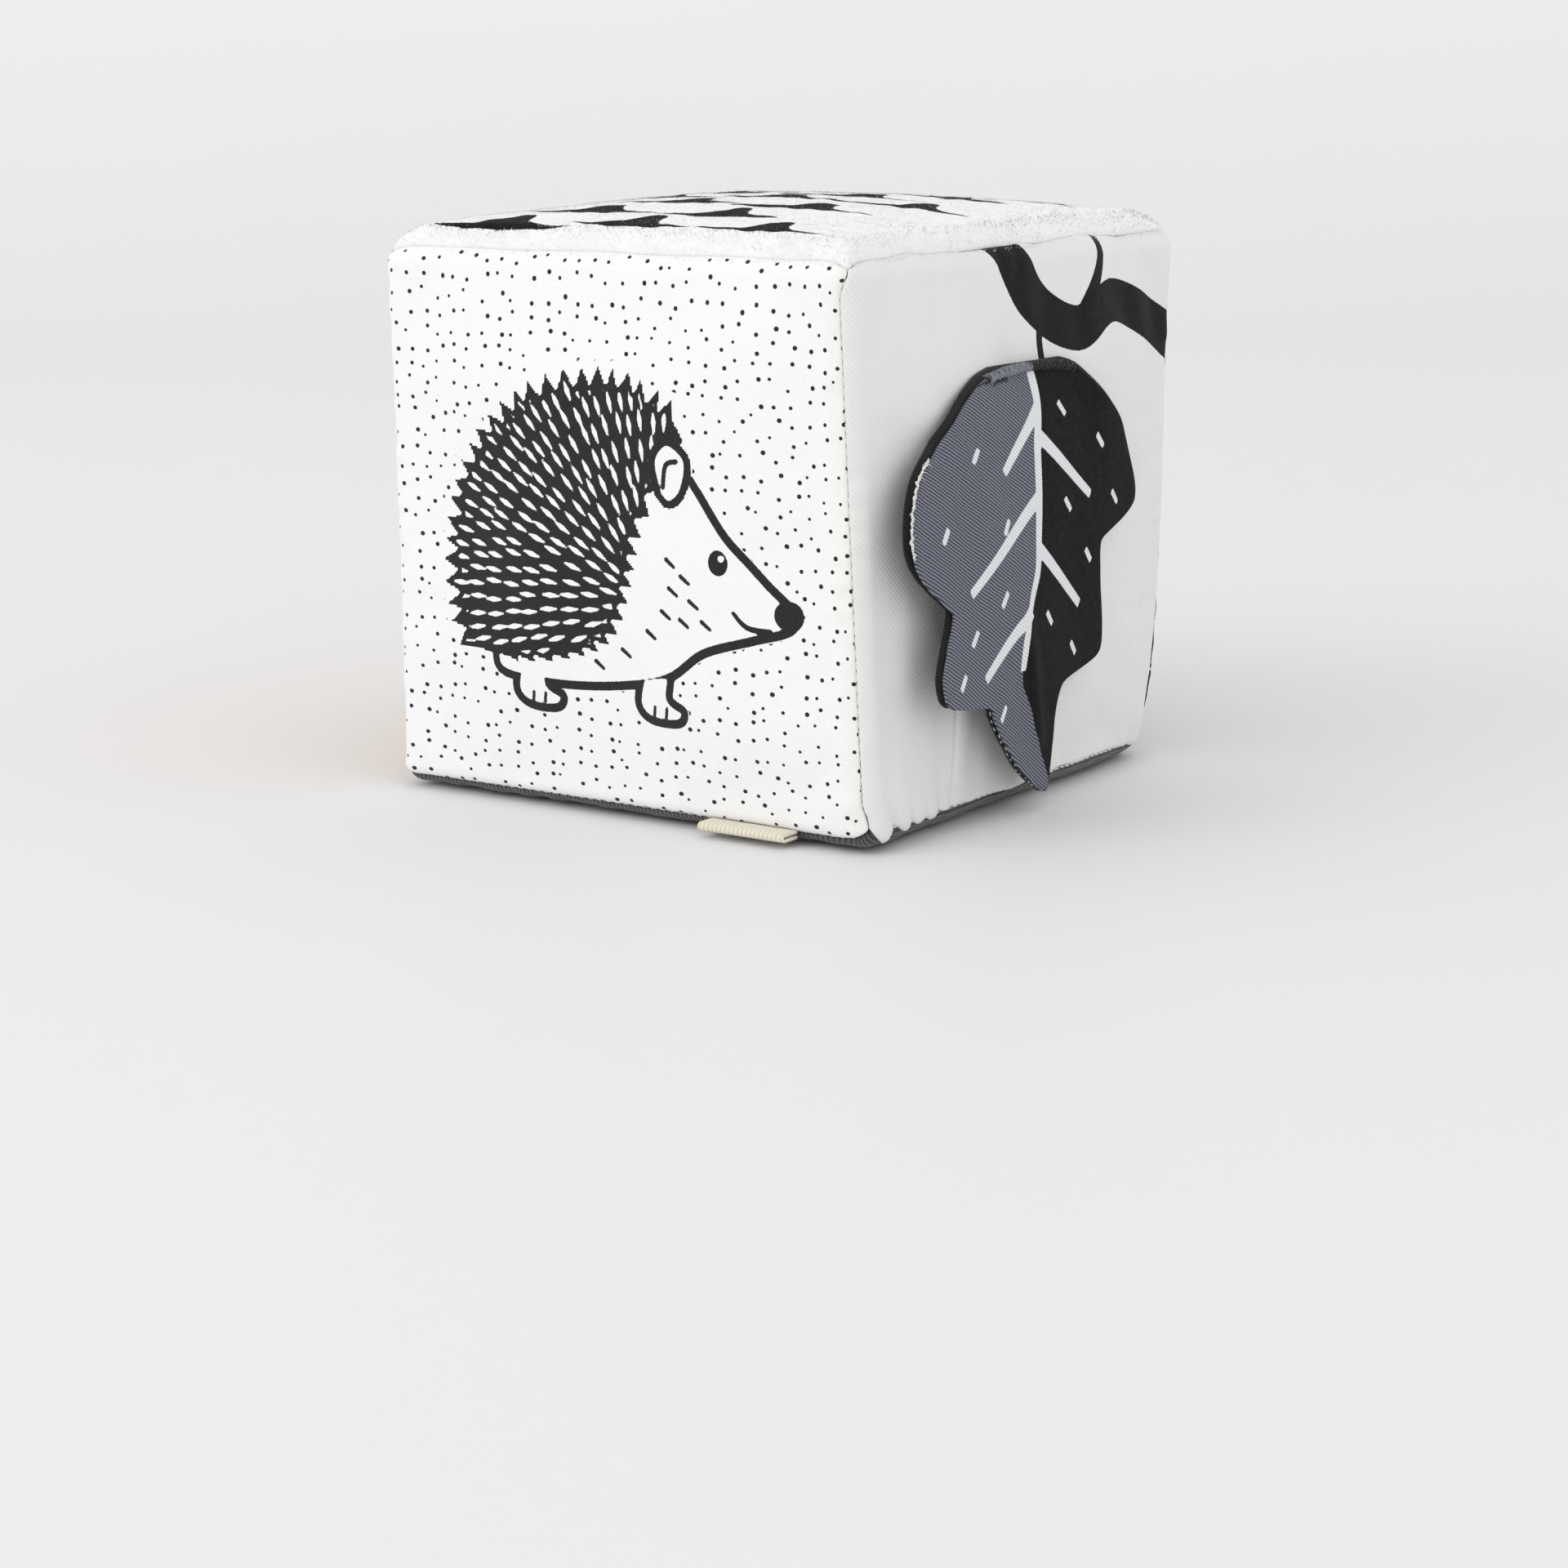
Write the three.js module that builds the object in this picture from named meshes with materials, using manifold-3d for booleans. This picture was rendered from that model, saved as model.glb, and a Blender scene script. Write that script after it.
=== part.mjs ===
// Soft fabric block for a baby: a sewn cover of six cloth panels over a foam core
// with a rattle in it, a two-ply leaf flap that lifts on its right side, and a
// folded tape tab in its bottom front seam.
// Lengths are millimetres. The block stands on z = 0 with its front towards -Y.
import * as THREE from "three";
import { mergeGeometries, mergeVertices } from "three/addons/utils/BufferGeometryUtils.js";
import Module from "manifold-3d";

// Sizes of the sewn cover
const seam_width = 133;
const seam_depth = 132;
const seam_height = 127;
const edge_roll = 5;
const face_crown = 2.6;
const plush_crown = 4.6;
const rest_crown = 1.5;
const rest_pressed = 0.5;
const seam_draw = 0.3;
const cloth = 1.2;
const plush_pile = 3.2;
const seam_gap = 1.4;

// Sizes of the seam threads
const thread = 0.7;
const thread_corner_stop = 3;
const closing_length = 46;
const thread_end_gap = 0.5;

// Sizes of the foam core and of the rattle in it
const core_gap = 0.35;
const core_split = 0.3;
const pocket_gap = 0.4;
const capsule_radius = 18;
const capsule_height = 30;
const capsule_wall = 2;
const capsule_lip = 4;
const capsule_fit = 0.3;
const ball_radius = 5;
const ball_gap = 0.3;

// Sizes of the leaf flap
const leaf_below_seam = 26;
const leaf_place = -2.5;
const leaf_length = 98.5;
const leaf_half_width = 54.5;
const leaf_ply = 0.8;
const leaf_film = 0.2;
const leaf_ply_gap = 0.3;
const leaf_seat_gap = 0.4;
const leaf_front_stand = 8.5;
const leaf_back_stand = 1.8;
const stitch_bar = 1.6;
const stitch_bar_front = 21;
const stitch_bar_back = 17;
const stitch_gap = 0.3;

// Sizes of the tape tab
const tab_width = 23.6;
const tab_from_seam = 28;
const tab_standoff = 1.9;
const tab_reach = 4;
const tape = 0.75;
const tape_fold = 0.5;

// Counts that set how finely the curved pieces are faceted
const thread_sides = 6;
const thread_steps = 8;
const turned_sides = 28;
const ball_rings = 10;
const bar_sides = 10;
const fold_segments = 5;
const leaf_columns = 8;

// Shares of a panel's flat part at which its grid has a line
const flat_shares = [0, 0.3, 0.58, 0.83];

// Outline of the leaf from its stitched top to its tip: share of its length,
// then shares of its half width towards the block's front and back
const leaf_outline_shares = [
  [0, 0.3, 0.24],
  [0.015, 0.43, 0.33],
  [0.05, 0.56, 0.43],
  [0.1, 0.7, 0.55],
  [0.15, 0.82, 0.65],
  [0.2, 0.95, 0.69],
  [0.25, 1.02, 0.73],
  [0.3, 1.05, 0.77],
  [0.34, 1.07, 0.77],
  [0.39, 1.06, 0.66],
  [0.43, 1.01, 0.43],
  [0.455, 0.96, 0.41],
  [0.52, 0.83, 0.42],
  [0.6, 0.89, 0.45],
  [0.65, 0.93, 0.46],
  [0.69, 0.93, 0.45],
  [0.725, 0.86, 0.3],
  [0.74, 0.69, 0.13],
  [0.755, 0.56, 0.07],
  [0.825, 0.47, 0.03],
  [0.87, 0.39, 0.03],
  [0.915, 0.3, 0.02],
  [0.955, 0.2, 0.01],
  [0.985, 0.1, -0.005],
  [1, 0.055, -0.015],
];

// How large the film and the two cloths of the leaf are cut, against its outline
const leaf_film_share = 0.92;
const leaf_front_share = 1;
const leaf_back_share = 1.03;

// Lengths worked out from those sizes. Everything is placed from the block's
// centre, and the whole block is then raised until it stands on z = 0.
const roll_inset = edge_roll * (1 - Math.SQRT1_2);
const roll_arc = (edge_roll * Math.PI) / 4;
const half = [seam_width, seam_depth, seam_height].map((size) => size / 2 + roll_inset);
const centre_z = half[2] + rest_crown - rest_pressed;

// The six faces of the block: the axis a face looks along and its direction,
// the two axes across it, in an order that turns its facets outwards, and its crown
const faces = {
  right: { out: 0, way: 1, across: 1, up: 2, crown: face_crown },
  left: { out: 0, way: -1, across: 2, up: 1, crown: face_crown },
  back: { out: 1, way: 1, across: 2, up: 0, crown: face_crown },
  front: { out: 1, way: -1, across: 0, up: 2, crown: face_crown },
  top: { out: 2, way: 1, across: 0, up: 1, crown: plush_crown },
  bottom: { out: 2, way: -1, across: 1, up: 0, crown: rest_crown },
};

const wasm = await Module();
wasm.setup();

function flatReach(axis) {
  return half[axis] - edge_roll;
}

function clothReach(axis) {
  return flatReach(axis) + roll_arc;
}

// Place on one axis of a share of the cloth, and its slope where it rolls over
function alongCloth(share, axis) {
  const reach = Math.abs(share) * clothReach(axis);
  const turned = Math.max(0, reach - flatReach(axis)) / edge_roll;
  return {
    place: Math.sign(share) * Math.min(reach, flatReach(axis)),
    slope: Math.sign(share) * Math.tan(turned),
  };
}

// How far a seam is drawn in near one edge of a face
function drawnIn(toEdge, alongEdge) {
  return seam_draw * toEdge ** 8 * (1 - alongEdge ** 2);
}

// Point of the cover at two shares of a face, raised over its cloth surface.
// The crown swells the face, and the bottom is pressed flat on the ground.
function coverPoint(face, across, up, raised) {
  const a = alongCloth(across, face.across);
  const b = alongCloth(up, face.up);
  const normal = new THREE.Vector3(a.slope, b.slope, 1).normalize();
  normal.multiplyScalar(edge_roll + raised);
  const drawA = drawnIn(across, up);
  const drawB = drawnIn(up, across);
  const crown = face.crown * (1 - across ** 2) * (1 - up ** 2);
  const point = new THREE.Vector3();
  point.setComponent(face.across, a.place + normal.x - Math.sign(across) * drawA);
  point.setComponent(face.up, b.place + normal.y - Math.sign(up) * drawB);
  point.setComponent(face.out, face.way * (flatReach(face.out) + normal.z + crown - drawA - drawB));
  if (face === faces.bottom) {
    point.z = Math.max(point.z, -centre_z - raised);
  }
  return point;
}

// Shares at which a panel's grid has its lines, out to the groove of the seam
function gridShares(axis, gap) {
  const turn = flatReach(axis) / clothReach(axis);
  const edge = 1 - gap / 2 / clothReach(axis);
  const outward = [...flat_shares.map((share) => share * turn), turn, (turn + edge) / 2, edge];
  const inward = outward.slice(1).map((share) => -share);
  return [...inward.reverse(), ...outward];
}

function coverGrid(face, raised, gap) {
  const columns = gridShares(face.across, gap);
  return gridShares(face.up, gap).map((up) => columns.map((across) => coverPoint(face, across, up, raised)));
}

// Facets of one grid of points, seen from the side its columns and rows turn to
function gridIndex(rows, columns, first, flipped) {
  const index = [];
  for (let row = 0; row + 1 < rows; row += 1) {
    for (let column = 0; column + 1 < columns; column += 1) {
      const a = first + row * columns + column;
      const ring = [a, a + 1, a + columns + 1, a + columns];
      if (flipped) {
        ring.reverse();
      }
      index.push(ring[0], ring[1], ring[2], ring[0], ring[2], ring[3]);
    }
  }
  return index;
}

function indexedGeometry(points, index) {
  const geometry = new THREE.BufferGeometry().setFromPoints(points);
  geometry.setIndex(index);
  return geometry;
}

// Closed skin between an outer and an inner grid of the same size
function skin(outer, inner) {
  const rows = outer.length;
  const columns = outer[0].length;
  const count = rows * columns;
  const index = [...gridIndex(rows, columns, 0, false), ...gridIndex(rows, columns, count, true)];
  const rim = [];
  for (let column = 0; column < columns; column += 1) {
    rim.push(column);
  }
  for (let row = 1; row < rows; row += 1) {
    rim.push(row * columns + columns - 1);
  }
  for (let column = columns - 2; column >= 0; column -= 1) {
    rim.push((rows - 1) * columns + column);
  }
  for (let row = rows - 2; row > 0; row -= 1) {
    rim.push(row * columns);
  }
  rim.forEach((a, place) => {
    const b = rim[(place + 1) % rim.length];
    index.push(b, a, a + count, b, a + count, b + count);
  });
  return indexedGeometry([...outer.flat(), ...inner.flat()], index);
}

// One geometry with its doubled corners joined, ready to be cut or kept
function welded(geometry) {
  const bare = geometry.clone();
  bare.deleteAttribute("normal");
  bare.deleteAttribute("uv");
  return mergeVertices(bare);
}

function toSolid(geometry) {
  const joined = welded(geometry);
  const vertProperties = new Float32Array(joined.attributes.position.array);
  const triVerts = new Uint32Array(joined.index.array);
  return new wasm.Manifold(new wasm.Mesh({ numProp: 3, vertProperties, triVerts }));
}

function fromSolid(solid) {
  const mesh = solid.getMesh();
  const geometry = new THREE.BufferGeometry();
  geometry.setAttribute("position", new THREE.BufferAttribute(new Float32Array(mesh.vertProperties), 3));
  geometry.setIndex(new THREE.BufferAttribute(new Uint32Array(mesh.triVerts), 1));
  return geometry;
}

function named(name, geometry, color, roughness, metalness = 0) {
  const joined = welded(geometry);
  joined.computeVertexNormals();
  const mesh = new THREE.Mesh(joined, new THREE.MeshStandardMaterial({ color, roughness, metalness }));
  mesh.name = name;
  return mesh;
}

function panel(name, face, pile, color, roughness) {
  const outer = coverGrid(face, pile, seam_gap);
  const inner = coverGrid(face, -cloth, seam_gap);
  return named(name, skin(outer, inner), color, roughness);
}

function panels() {
  return [
    panel("front_dotted_panel", faces.front, 0, "#f2f1ef", 0.85),
    panel("right_plain_panel", faces.right, 0, "#eae8e4", 0.85),
    panel("back_speckled_panel", faces.back, 0, "#262628", 0.85),
    panel("left_mustard_panel", faces.left, 0, "#d79a35", 0.85),
    panel("top_plush_panel", faces.top, plush_pile, "#f4f3f1", 0.95),
    panel("bottom_knit_panel", faces.bottom, 0, "#4b4c50", 0.9),
  ];
}

// One run of seam thread in the groove at the upper or lower edge of a face
function seamThread(name, face, edge, from, to, color) {
  const points = [];
  for (let step = 0; step <= thread_steps; step += 1) {
    const share = from + ((to - from) * step) / thread_steps;
    points.push(coverPoint(face, share, edge, -cloth / 2));
  }
  const section = new THREE.Shape().absarc(0, 0, thread / 2, 0, 2 * Math.PI);
  const extrudePath = new THREE.CatmullRomCurve3(points);
  const shape = { steps: thread_steps, curveSegments: thread_sides / 2, extrudePath, bevelEnabled: false };
  return named(name, new THREE.ExtrudeGeometry(section, shape), color, 0.7);
}

// The same face, with the two axes across it named the other way round
function swapped(face) {
  return { ...face, across: face.up, up: face.across };
}

// The machine seams that run the whole edge, each placed by one of its two faces
function fullSeams() {
  const runs = [
    ["seam_front_top", faces.front, 1],
    ["seam_front_bottom", faces.front, -1],
    ["seam_front_right", swapped(faces.front), 1],
    ["seam_front_left", swapped(faces.front), -1],
    ["seam_right_top", faces.right, 1],
    ["seam_right_bottom", faces.right, -1],
    ["seam_left_top", swapped(faces.left), 1],
    ["seam_left_bottom", swapped(faces.left), -1],
    ["seam_back_top", swapped(faces.back), 1],
    ["seam_back_right", faces.back, 1],
    ["seam_back_left", faces.back, -1],
  ];
  return runs.map(([name, face, edge]) => {
    const end = 1 - thread_corner_stop / clothReach(face.across);
    return seamThread(name, face, edge, -end, end, "#e9e7e2");
  });
}

// The edge under the back is left open to fill the cover. Its two machine seams
// end at the opening, which is closed by hand.
function backBottomSeams() {
  const back = swapped(faces.back);
  const reach = clothReach(back.across);
  const end = 1 - thread_corner_stop / reach;
  const open = closing_length / 2 / reach;
  const from = open + thread_end_gap / reach;
  return [
    seamThread("seam_back_bottom_left", back, -1, -end, -from, "#2a2a2c"),
    seamThread("closing_stitch", back, -1, -open, open, "#3a3a3d"),
    seamThread("seam_back_bottom_right", back, -1, from, end, "#2a2a2c"),
  ];
}

// The foam as one closed body, just inside the cover
function foamBody() {
  const raised = -cloth - core_gap;
  const sides = Object.values(faces).map((face) => {
    const grid = coverGrid(face, raised, 0);
    return indexedGeometry(grid.flat(), gridIndex(grid.length, grid[0].length, 0, false));
  });
  return toSolid(mergeGeometries(sides));
}

// Half of the foam with half of the rattle's pocket, above or below the split
function foamHalf(name, body, way) {
  const keep = new THREE.BoxGeometry(2 * seam_width, 2 * seam_depth, seam_height);
  keep.translate(0, 0, (way * (seam_height + core_split)) / 2);
  const pocketRadius = capsule_radius + pocket_gap;
  const pocketHeight = capsule_height + 2 * pocket_gap;
  const pocket = new THREE.CylinderGeometry(pocketRadius, pocketRadius, pocketHeight, turned_sides);
  pocket.rotateX(Math.PI / 2);
  const solid = body.intersect(toSolid(keep)).subtract(toSolid(pocket));
  return named(name, fromSolid(solid), "#ece6cf", 0.95);
}

function foamCore() {
  const body = foamBody();
  return [foamHalf("foam_core_lower", body, -1), foamHalf("foam_core_upper", body, 1)];
}

// A turned piece from its profile of radius and height
function turned(profile) {
  const points = profile.map(([radius, height]) => new THREE.Vector2(radius, height));
  const geometry = new THREE.LatheGeometry(points, turned_sides);
  geometry.rotateX(Math.PI / 2);
  return geometry;
}

// The capsule's cup with the lip that its lid drops over, and the lid
function rattleCapsule() {
  const low = -capsule_height / 2;
  const high = capsule_height / 2;
  const bore = capsule_radius - capsule_wall;
  const lip = capsule_radius - capsule_wall / 2;
  const cup = [
    [0, low],
    [capsule_radius, low],
    [capsule_radius, 0],
    [lip, 0],
    [lip, capsule_lip],
    [bore, capsule_lip],
    [bore, low + capsule_wall],
    [0, low + capsule_wall],
  ];
  const lid = [
    [0, high - capsule_wall],
    [bore, high - capsule_wall],
    [bore, capsule_lip + capsule_fit],
    [lip + capsule_fit, capsule_lip + capsule_fit],
    [lip + capsule_fit, capsule_fit],
    [capsule_radius, capsule_fit],
    [capsule_radius, high],
    [0, high],
  ];
  return [
    named("rattle_cup", turned(cup), "#dfe6ea", 0.35),
    named("rattle_lid", turned(lid), "#dfe6ea", 0.35),
  ];
}

// The loose ball, lying at the bottom of the cup
function rattleBall() {
  const geometry = new THREE.SphereGeometry(ball_radius, turned_sides / 2, ball_rings);
  const ball = named("rattle_ball", geometry, "#b9bcc0", 0.3, 0.8);
  ball.position.z = capsule_wall + ball_gap + ball_radius - capsule_height / 2;
  return ball;
}

// How far the right panel swells at a place on it, out from its flat cloth
function rightCrown(y, z) {
  return face_crown * (1 - (y / clothReach(1)) ** 2) * (1 - (z / clothReach(2)) ** 2);
}

// The leaf's stitched line, which it lifts about: over the right panel, below its top seam
function leafHinge() {
  const z = seam_height / 2 - leaf_below_seam;
  return new THREE.Vector3(half[0] + rightCrown(leaf_place, z) + stitch_gap + stitch_bar / 2, leaf_place, z);
}

// How far the leaf hangs off the panel: it stands out most along its front edge
function leafStand(down, y) {
  const sideShare = (1 - y / leaf_half_width) / 2;
  const full = leaf_back_stand + (leaf_front_stand - leaf_back_stand) * sideShare;
  return full * (1 - (1 - down) ** 4);
}

// One ply of the leaf as a grid of points, from its hinge
function leafGrid(cutShare, raised) {
  const hinge = leafHinge();
  const top = hinge.z - stitch_bar / 2 - stitch_gap;
  return leaf_outline_shares.map(([down, front, back]) => {
    const middle = (leaf_half_width * (back - front)) / 2;
    const reach = (leaf_half_width * (back + front) * cutShare) / 2;
    const z = top - down * leaf_length * Math.min(cutShare, 1);
    return Array.from({ length: leaf_columns + 1 }, (_, column) => {
      const y = middle + reach * ((2 * column) / leaf_columns - 1);
      const stand = leafStand((top - z) / leaf_length, y);
      const x = half[0] + rightCrown(hinge.y + y, z) + leaf_seat_gap + stand + raised;
      return new THREE.Vector3(x, hinge.y + y, z).sub(hinge);
    });
  }).reverse();
}

function leafPly(name, cutShare, raised, thickness, color, roughness, metalness) {
  const outer = leafGrid(cutShare, raised + thickness);
  const inner = leafGrid(cutShare, raised);
  return named(name, skin(outer, inner), color, roughness, metalness);
}

// The flap itself: a printed cloth, a crinkling film and a dark backing cloth
function leafFlap() {
  const filmRaised = leaf_ply + leaf_ply_gap;
  const frontRaised = filmRaised + leaf_film + leaf_ply_gap;
  const leaf = new THREE.Group();
  leaf.position.copy(leafHinge());
  leaf.add(leafPly("leaf_back_ply", leaf_back_share, 0, leaf_ply, "#1c1c1f", 0.85));
  leaf.add(leafPly("leaf_crinkle_film", leaf_film_share, filmRaised, leaf_film, "#c9ced2", 0.25, 0.3));
  leaf.add(leafPly("leaf_front_ply", leaf_front_share, frontRaised, leaf_ply, "#6d7384", 0.85));
  return leaf;
}

// The bar of whipped stitches that holds the leaf's top to the panel
function leafStitchBar() {
  const length = stitch_bar_front + stitch_bar_back;
  const geometry = new THREE.CylinderGeometry(stitch_bar / 2, stitch_bar / 2, length, bar_sides);
  const bar = named("leaf_stitch_bar", geometry, "#7d8088", 0.75);
  bar.position.copy(leafHinge());
  bar.position.y += (stitch_bar_back - stitch_bar_front) / 2;
  return bar;
}

// Section of the folded tape: outwards from the seam along x, up along y
function tapeSection() {
  const outer = tape + tape_fold / 2;
  const inner = tape_fold / 2;
  const section = new THREE.Shape();
  section.moveTo(0, outer);
  section.lineTo(tab_reach, outer);
  section.absarc(tab_reach, 0, outer, Math.PI / 2, -Math.PI / 2, true);
  section.lineTo(0, -outer);
  section.lineTo(0, -inner);
  section.lineTo(tab_reach, -inner);
  section.absarc(tab_reach, 0, inner, -Math.PI / 2, Math.PI / 2, false);
  section.lineTo(0, inner);
  section.closePath();
  return section;
}

// The tape tab: its fold points out from the bottom front seam, which it flips about
function tapeTab() {
  const shape = { depth: tab_width, curveSegments: fold_segments, bevelEnabled: false };
  const geometry = new THREE.ExtrudeGeometry(tapeSection(), shape);
  geometry.translate(0, 0, -tab_width / 2);
  const outward = new THREE.Vector3(0, -1, 0);
  const upward = new THREE.Vector3(0, 0, 1);
  const sideways = new THREE.Vector3().crossVectors(outward, upward);
  geometry.applyMatrix4(new THREE.Matrix4().makeBasis(outward, upward, sideways));
  const tab = named("tape_tab", geometry, "#e6dcc0", 0.85);
  const place = seam_width / 2 - tab_from_seam;
  tab.position.copy(coverPoint(faces.front, place / clothReach(0), -1, 0));
  tab.position.y -= tab_standoff;
  return tab;
}

const block = new THREE.Group();
block.position.z = centre_z;
block.add(...panels(), ...fullSeams(), ...backBottomSeams(), ...foamCore(), ...rattleCapsule(), rattleBall());
block.add(leafFlap(), leafStitchBar(), tapeTab());

export default block;
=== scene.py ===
from functools import cached_property, partial

import bpy
import numpy as np
from mathutils import Matrix, Vector


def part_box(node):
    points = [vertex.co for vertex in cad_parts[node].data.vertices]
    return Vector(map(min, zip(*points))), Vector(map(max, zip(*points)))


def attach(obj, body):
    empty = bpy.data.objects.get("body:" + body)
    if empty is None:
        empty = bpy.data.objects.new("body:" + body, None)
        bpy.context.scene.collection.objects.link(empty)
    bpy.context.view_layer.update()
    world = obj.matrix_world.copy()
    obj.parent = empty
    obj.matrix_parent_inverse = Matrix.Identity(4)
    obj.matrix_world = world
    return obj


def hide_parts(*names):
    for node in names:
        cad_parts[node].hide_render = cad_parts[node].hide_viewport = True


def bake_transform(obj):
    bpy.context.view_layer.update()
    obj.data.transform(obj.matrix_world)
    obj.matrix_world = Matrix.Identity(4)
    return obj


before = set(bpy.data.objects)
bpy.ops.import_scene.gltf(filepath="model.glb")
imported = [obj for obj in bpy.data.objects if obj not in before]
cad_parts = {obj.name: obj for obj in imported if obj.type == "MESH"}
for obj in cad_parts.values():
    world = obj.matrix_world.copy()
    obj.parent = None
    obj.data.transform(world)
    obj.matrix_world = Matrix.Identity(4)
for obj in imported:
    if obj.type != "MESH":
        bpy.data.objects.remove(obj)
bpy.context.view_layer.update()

# Camera. It stands low and to the right of the block's near corner, a little over
# 800 mm away, behind a long lens that is shifted by about 1% of the picture.
lens = bpy.data.cameras.new("photo_lens")
lens.sensor_width = 36
lens.lens = 77.9
lens.shift_x = 0.0043
lens.shift_y = 0.0102
camera_right = (0.81314, 0.58198, -0.00987)
camera_top = (-0.12052, 0.18494, 0.97533)
camera_back = (0.56945, -0.79189, 0.22053)
camera_place = (0.4795, -0.6712, 0.1783)
camera = bpy.data.objects.new("photo_camera", lens)
camera_stance = zip(camera_right, camera_top, camera_back, camera_place)
camera.matrix_world = Matrix([*camera_stance, (0, 0, 0, 1)])
bpy.context.scene.collection.objects.link(camera)
bpy.context.scene.camera = camera

# Front panel. White cotton twill, screen-printed with a dotted ground and one large
# animal, cut square and sewn to its four neighbours with the edges turned inside.
# All lengths here are millimetres; `middle` is the block's middle over the floor.
seam_to_seam = np.array([133.0, 132.0, 127.0])
edge_roll = 5.0
face_swell = 2.6
plush_swell = 4.6
rest_swell = 1.0
rest_press = 1.7
seam_draw = 0.3
seam_crease = 0.12
allowance = 2.4
half = seam_to_seam / 2 + edge_roll * (1 - np.sqrt(0.5))
flat_reach = half - edge_roll
cloth_reach = flat_reach + edge_roll * np.pi / 4
middle = half[2] + rest_swell

# How the filled cover leans out of square at its corners (left/right, front/back, low/high):
# the lean in each direction, and how closely it keeps to its corner
corner_lean = {
    (-1, -1, 1): (-1.0, 0, 0, 1),
    (1, -1, 1): (-2.2, 0, 0, 1),
    (-1, -1, -1): (-0.5, 0, 0, 1),
    (1, -1, -1): (3.1, 0, 0, 1),
    (-1, 1, 1): (0, 0, 1.8, 1),
    (1, 1, 1): (1.6, 1.8, 0.1, 1),
    (1, 1, -1): (-3.5, -7.0, 0, 8),
}
lean_from = 0.35

# Each face: the axis that it looks along, its direction, and the axes across and up it
right_face = (0, 1, 1, 2)
left_face = (0, -1, 2, 1)
back_face = (1, 1, 2, 0)
front_face = (1, -1, 0, 2)
top_face = (2, 1, 0, 1)
bottom_face = (2, -1, 1, 0)
all_faces = (front_face, right_face, back_face, left_face, bottom_face, top_face)
foam_halves = ["foam_core_lower", "foam_core_upper"]

# Upright seams that lie beside their edge: face, its direction, the axis and end, how far they
# are shifted at the foot and at the top, and the length over which that fades at a corner.
# The seams round the top lie higher than their edges, as the side panels are cut a little
# tall, and they wave a little
beside_edge = {
    (1, -1, 0, 1): (-1.3, -2.2, 8),
    (0, 1, 1, -1): (-1.3, -2.2, 8),
    (1, -1, 0, -1): (-1.4, -1.8, 1.5),
    (0, -1, 1, -1): (1.4, 1.8, 1.5),
    (0, 1, 1, 1): (-3.6, -0.8, 8),
    (1, 1, 0, 1): (3.6, 0.8, 8),
}
tall_cut = 1.8
tall_cut_fade = 8
tall_cut_wave = 0.35

# The foot of the block: how far the knit is turned up under each side, how far at each corner
# and over what length it changes, and the lobes of the right side's cloth that hang over it:
# from where to where, and how far down
hem = {(1, -1): 0.8, (0, 1): 2.5, (1, 1): 1.2, (0, -1): 1.2}
hem_at_corner = {(1, -1): (4.4, 10), (-1, -1): (0.8, 10), (1, 1): (0.0, 34), (-1, 1): (1.2, 10)}
lobes = [
    (1.5, 9.8, 2.3),
    (11.6, 17.0, 1.3),
    (17.3, 23.0, 0.8),
    (23.3, 29.3, 1.0),
    (29.6, 34.5, 0.7),
    (34.5, 52.0, 0.3),
]

# Every panel is drawn in along its seams, and puckers beside them
crease_depth = 0.42
crease_reach = 0.55
pucker_height = 0.2
pucker_reach = 2.2
pucker_pitch = 6.5


def smooth(share):
    share = np.clip(share, 0, 1)
    return share * share * (3 - 2 * share)


def on_block(face, across, up, raised):
    """Places on the plain block with rolled edges, at lengths along the cloth of a face."""
    out, way, a, b = face
    across, up, raised = np.broadcast_arrays(across, up, raised)
    flat_a = np.clip(across, -flat_reach[a], flat_reach[a])
    flat_b = np.clip(up, -flat_reach[b], flat_reach[b])
    slope_a = np.tan((across - flat_a) / edge_roll)
    slope_b = np.tan((up - flat_b) / edge_roll)
    spread = (edge_roll + raised) / np.sqrt(slope_a**2 + slope_b**2 + 1)
    places = np.empty((*across.shape, 3))
    places[..., a] = flat_a + slope_a * spread
    places[..., b] = flat_b + slope_b * spread
    places[..., out] = way * (flat_reach[out] + spread)
    return places


def way_out(face, across, up):
    """Which way a face of the plain block looks, at lengths along its cloth."""
    return on_block(face, across, up, 1.0) - on_block(face, across, up, 0.0)


def leaned(share):
    """How far places in the filled cover lean, from their shares of its half size."""
    outside = smooth((np.abs(share).max(axis=-1) - lean_from) / (1 - lean_from))
    total = np.zeros(share.shape)
    for corner, (*lean, sharpness) in corner_lean.items():
        weight = np.prod((1 + share * corner) / 2, axis=-1) ** sharpness * outside
        total += weight[..., None] * lean
    return total


def filled_out(places):
    """Where places on the plain block come to when the cover is sewn, filled and set down."""
    share = np.clip(places / half, -1, 1)
    near = smooth((np.abs(places) - flat_reach) / edge_roll)
    moved = places.copy()
    for out in range(3):
        a, b = share[..., (out + 1) % 3] ** 2, share[..., (out + 2) % 3] ** 2
        swell = face_swell * (1 - a) * (1 - b)
        if out == 2:
            low = np.minimum(swell / rest_press, rest_swell)
            swell = np.where(places[..., 2] < 0, low, swell * plush_swell / face_swell)
        draw = seam_draw * (a**4 * (1 - b) + b**4 * (1 - a))
        moved[..., out] += np.sign(places[..., out]) * near[..., out] * (swell - draw)
    moved += leaned(share)
    moved[..., 2] = np.maximum(moved[..., 2] + middle, 0.01)
    return moved


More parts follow.
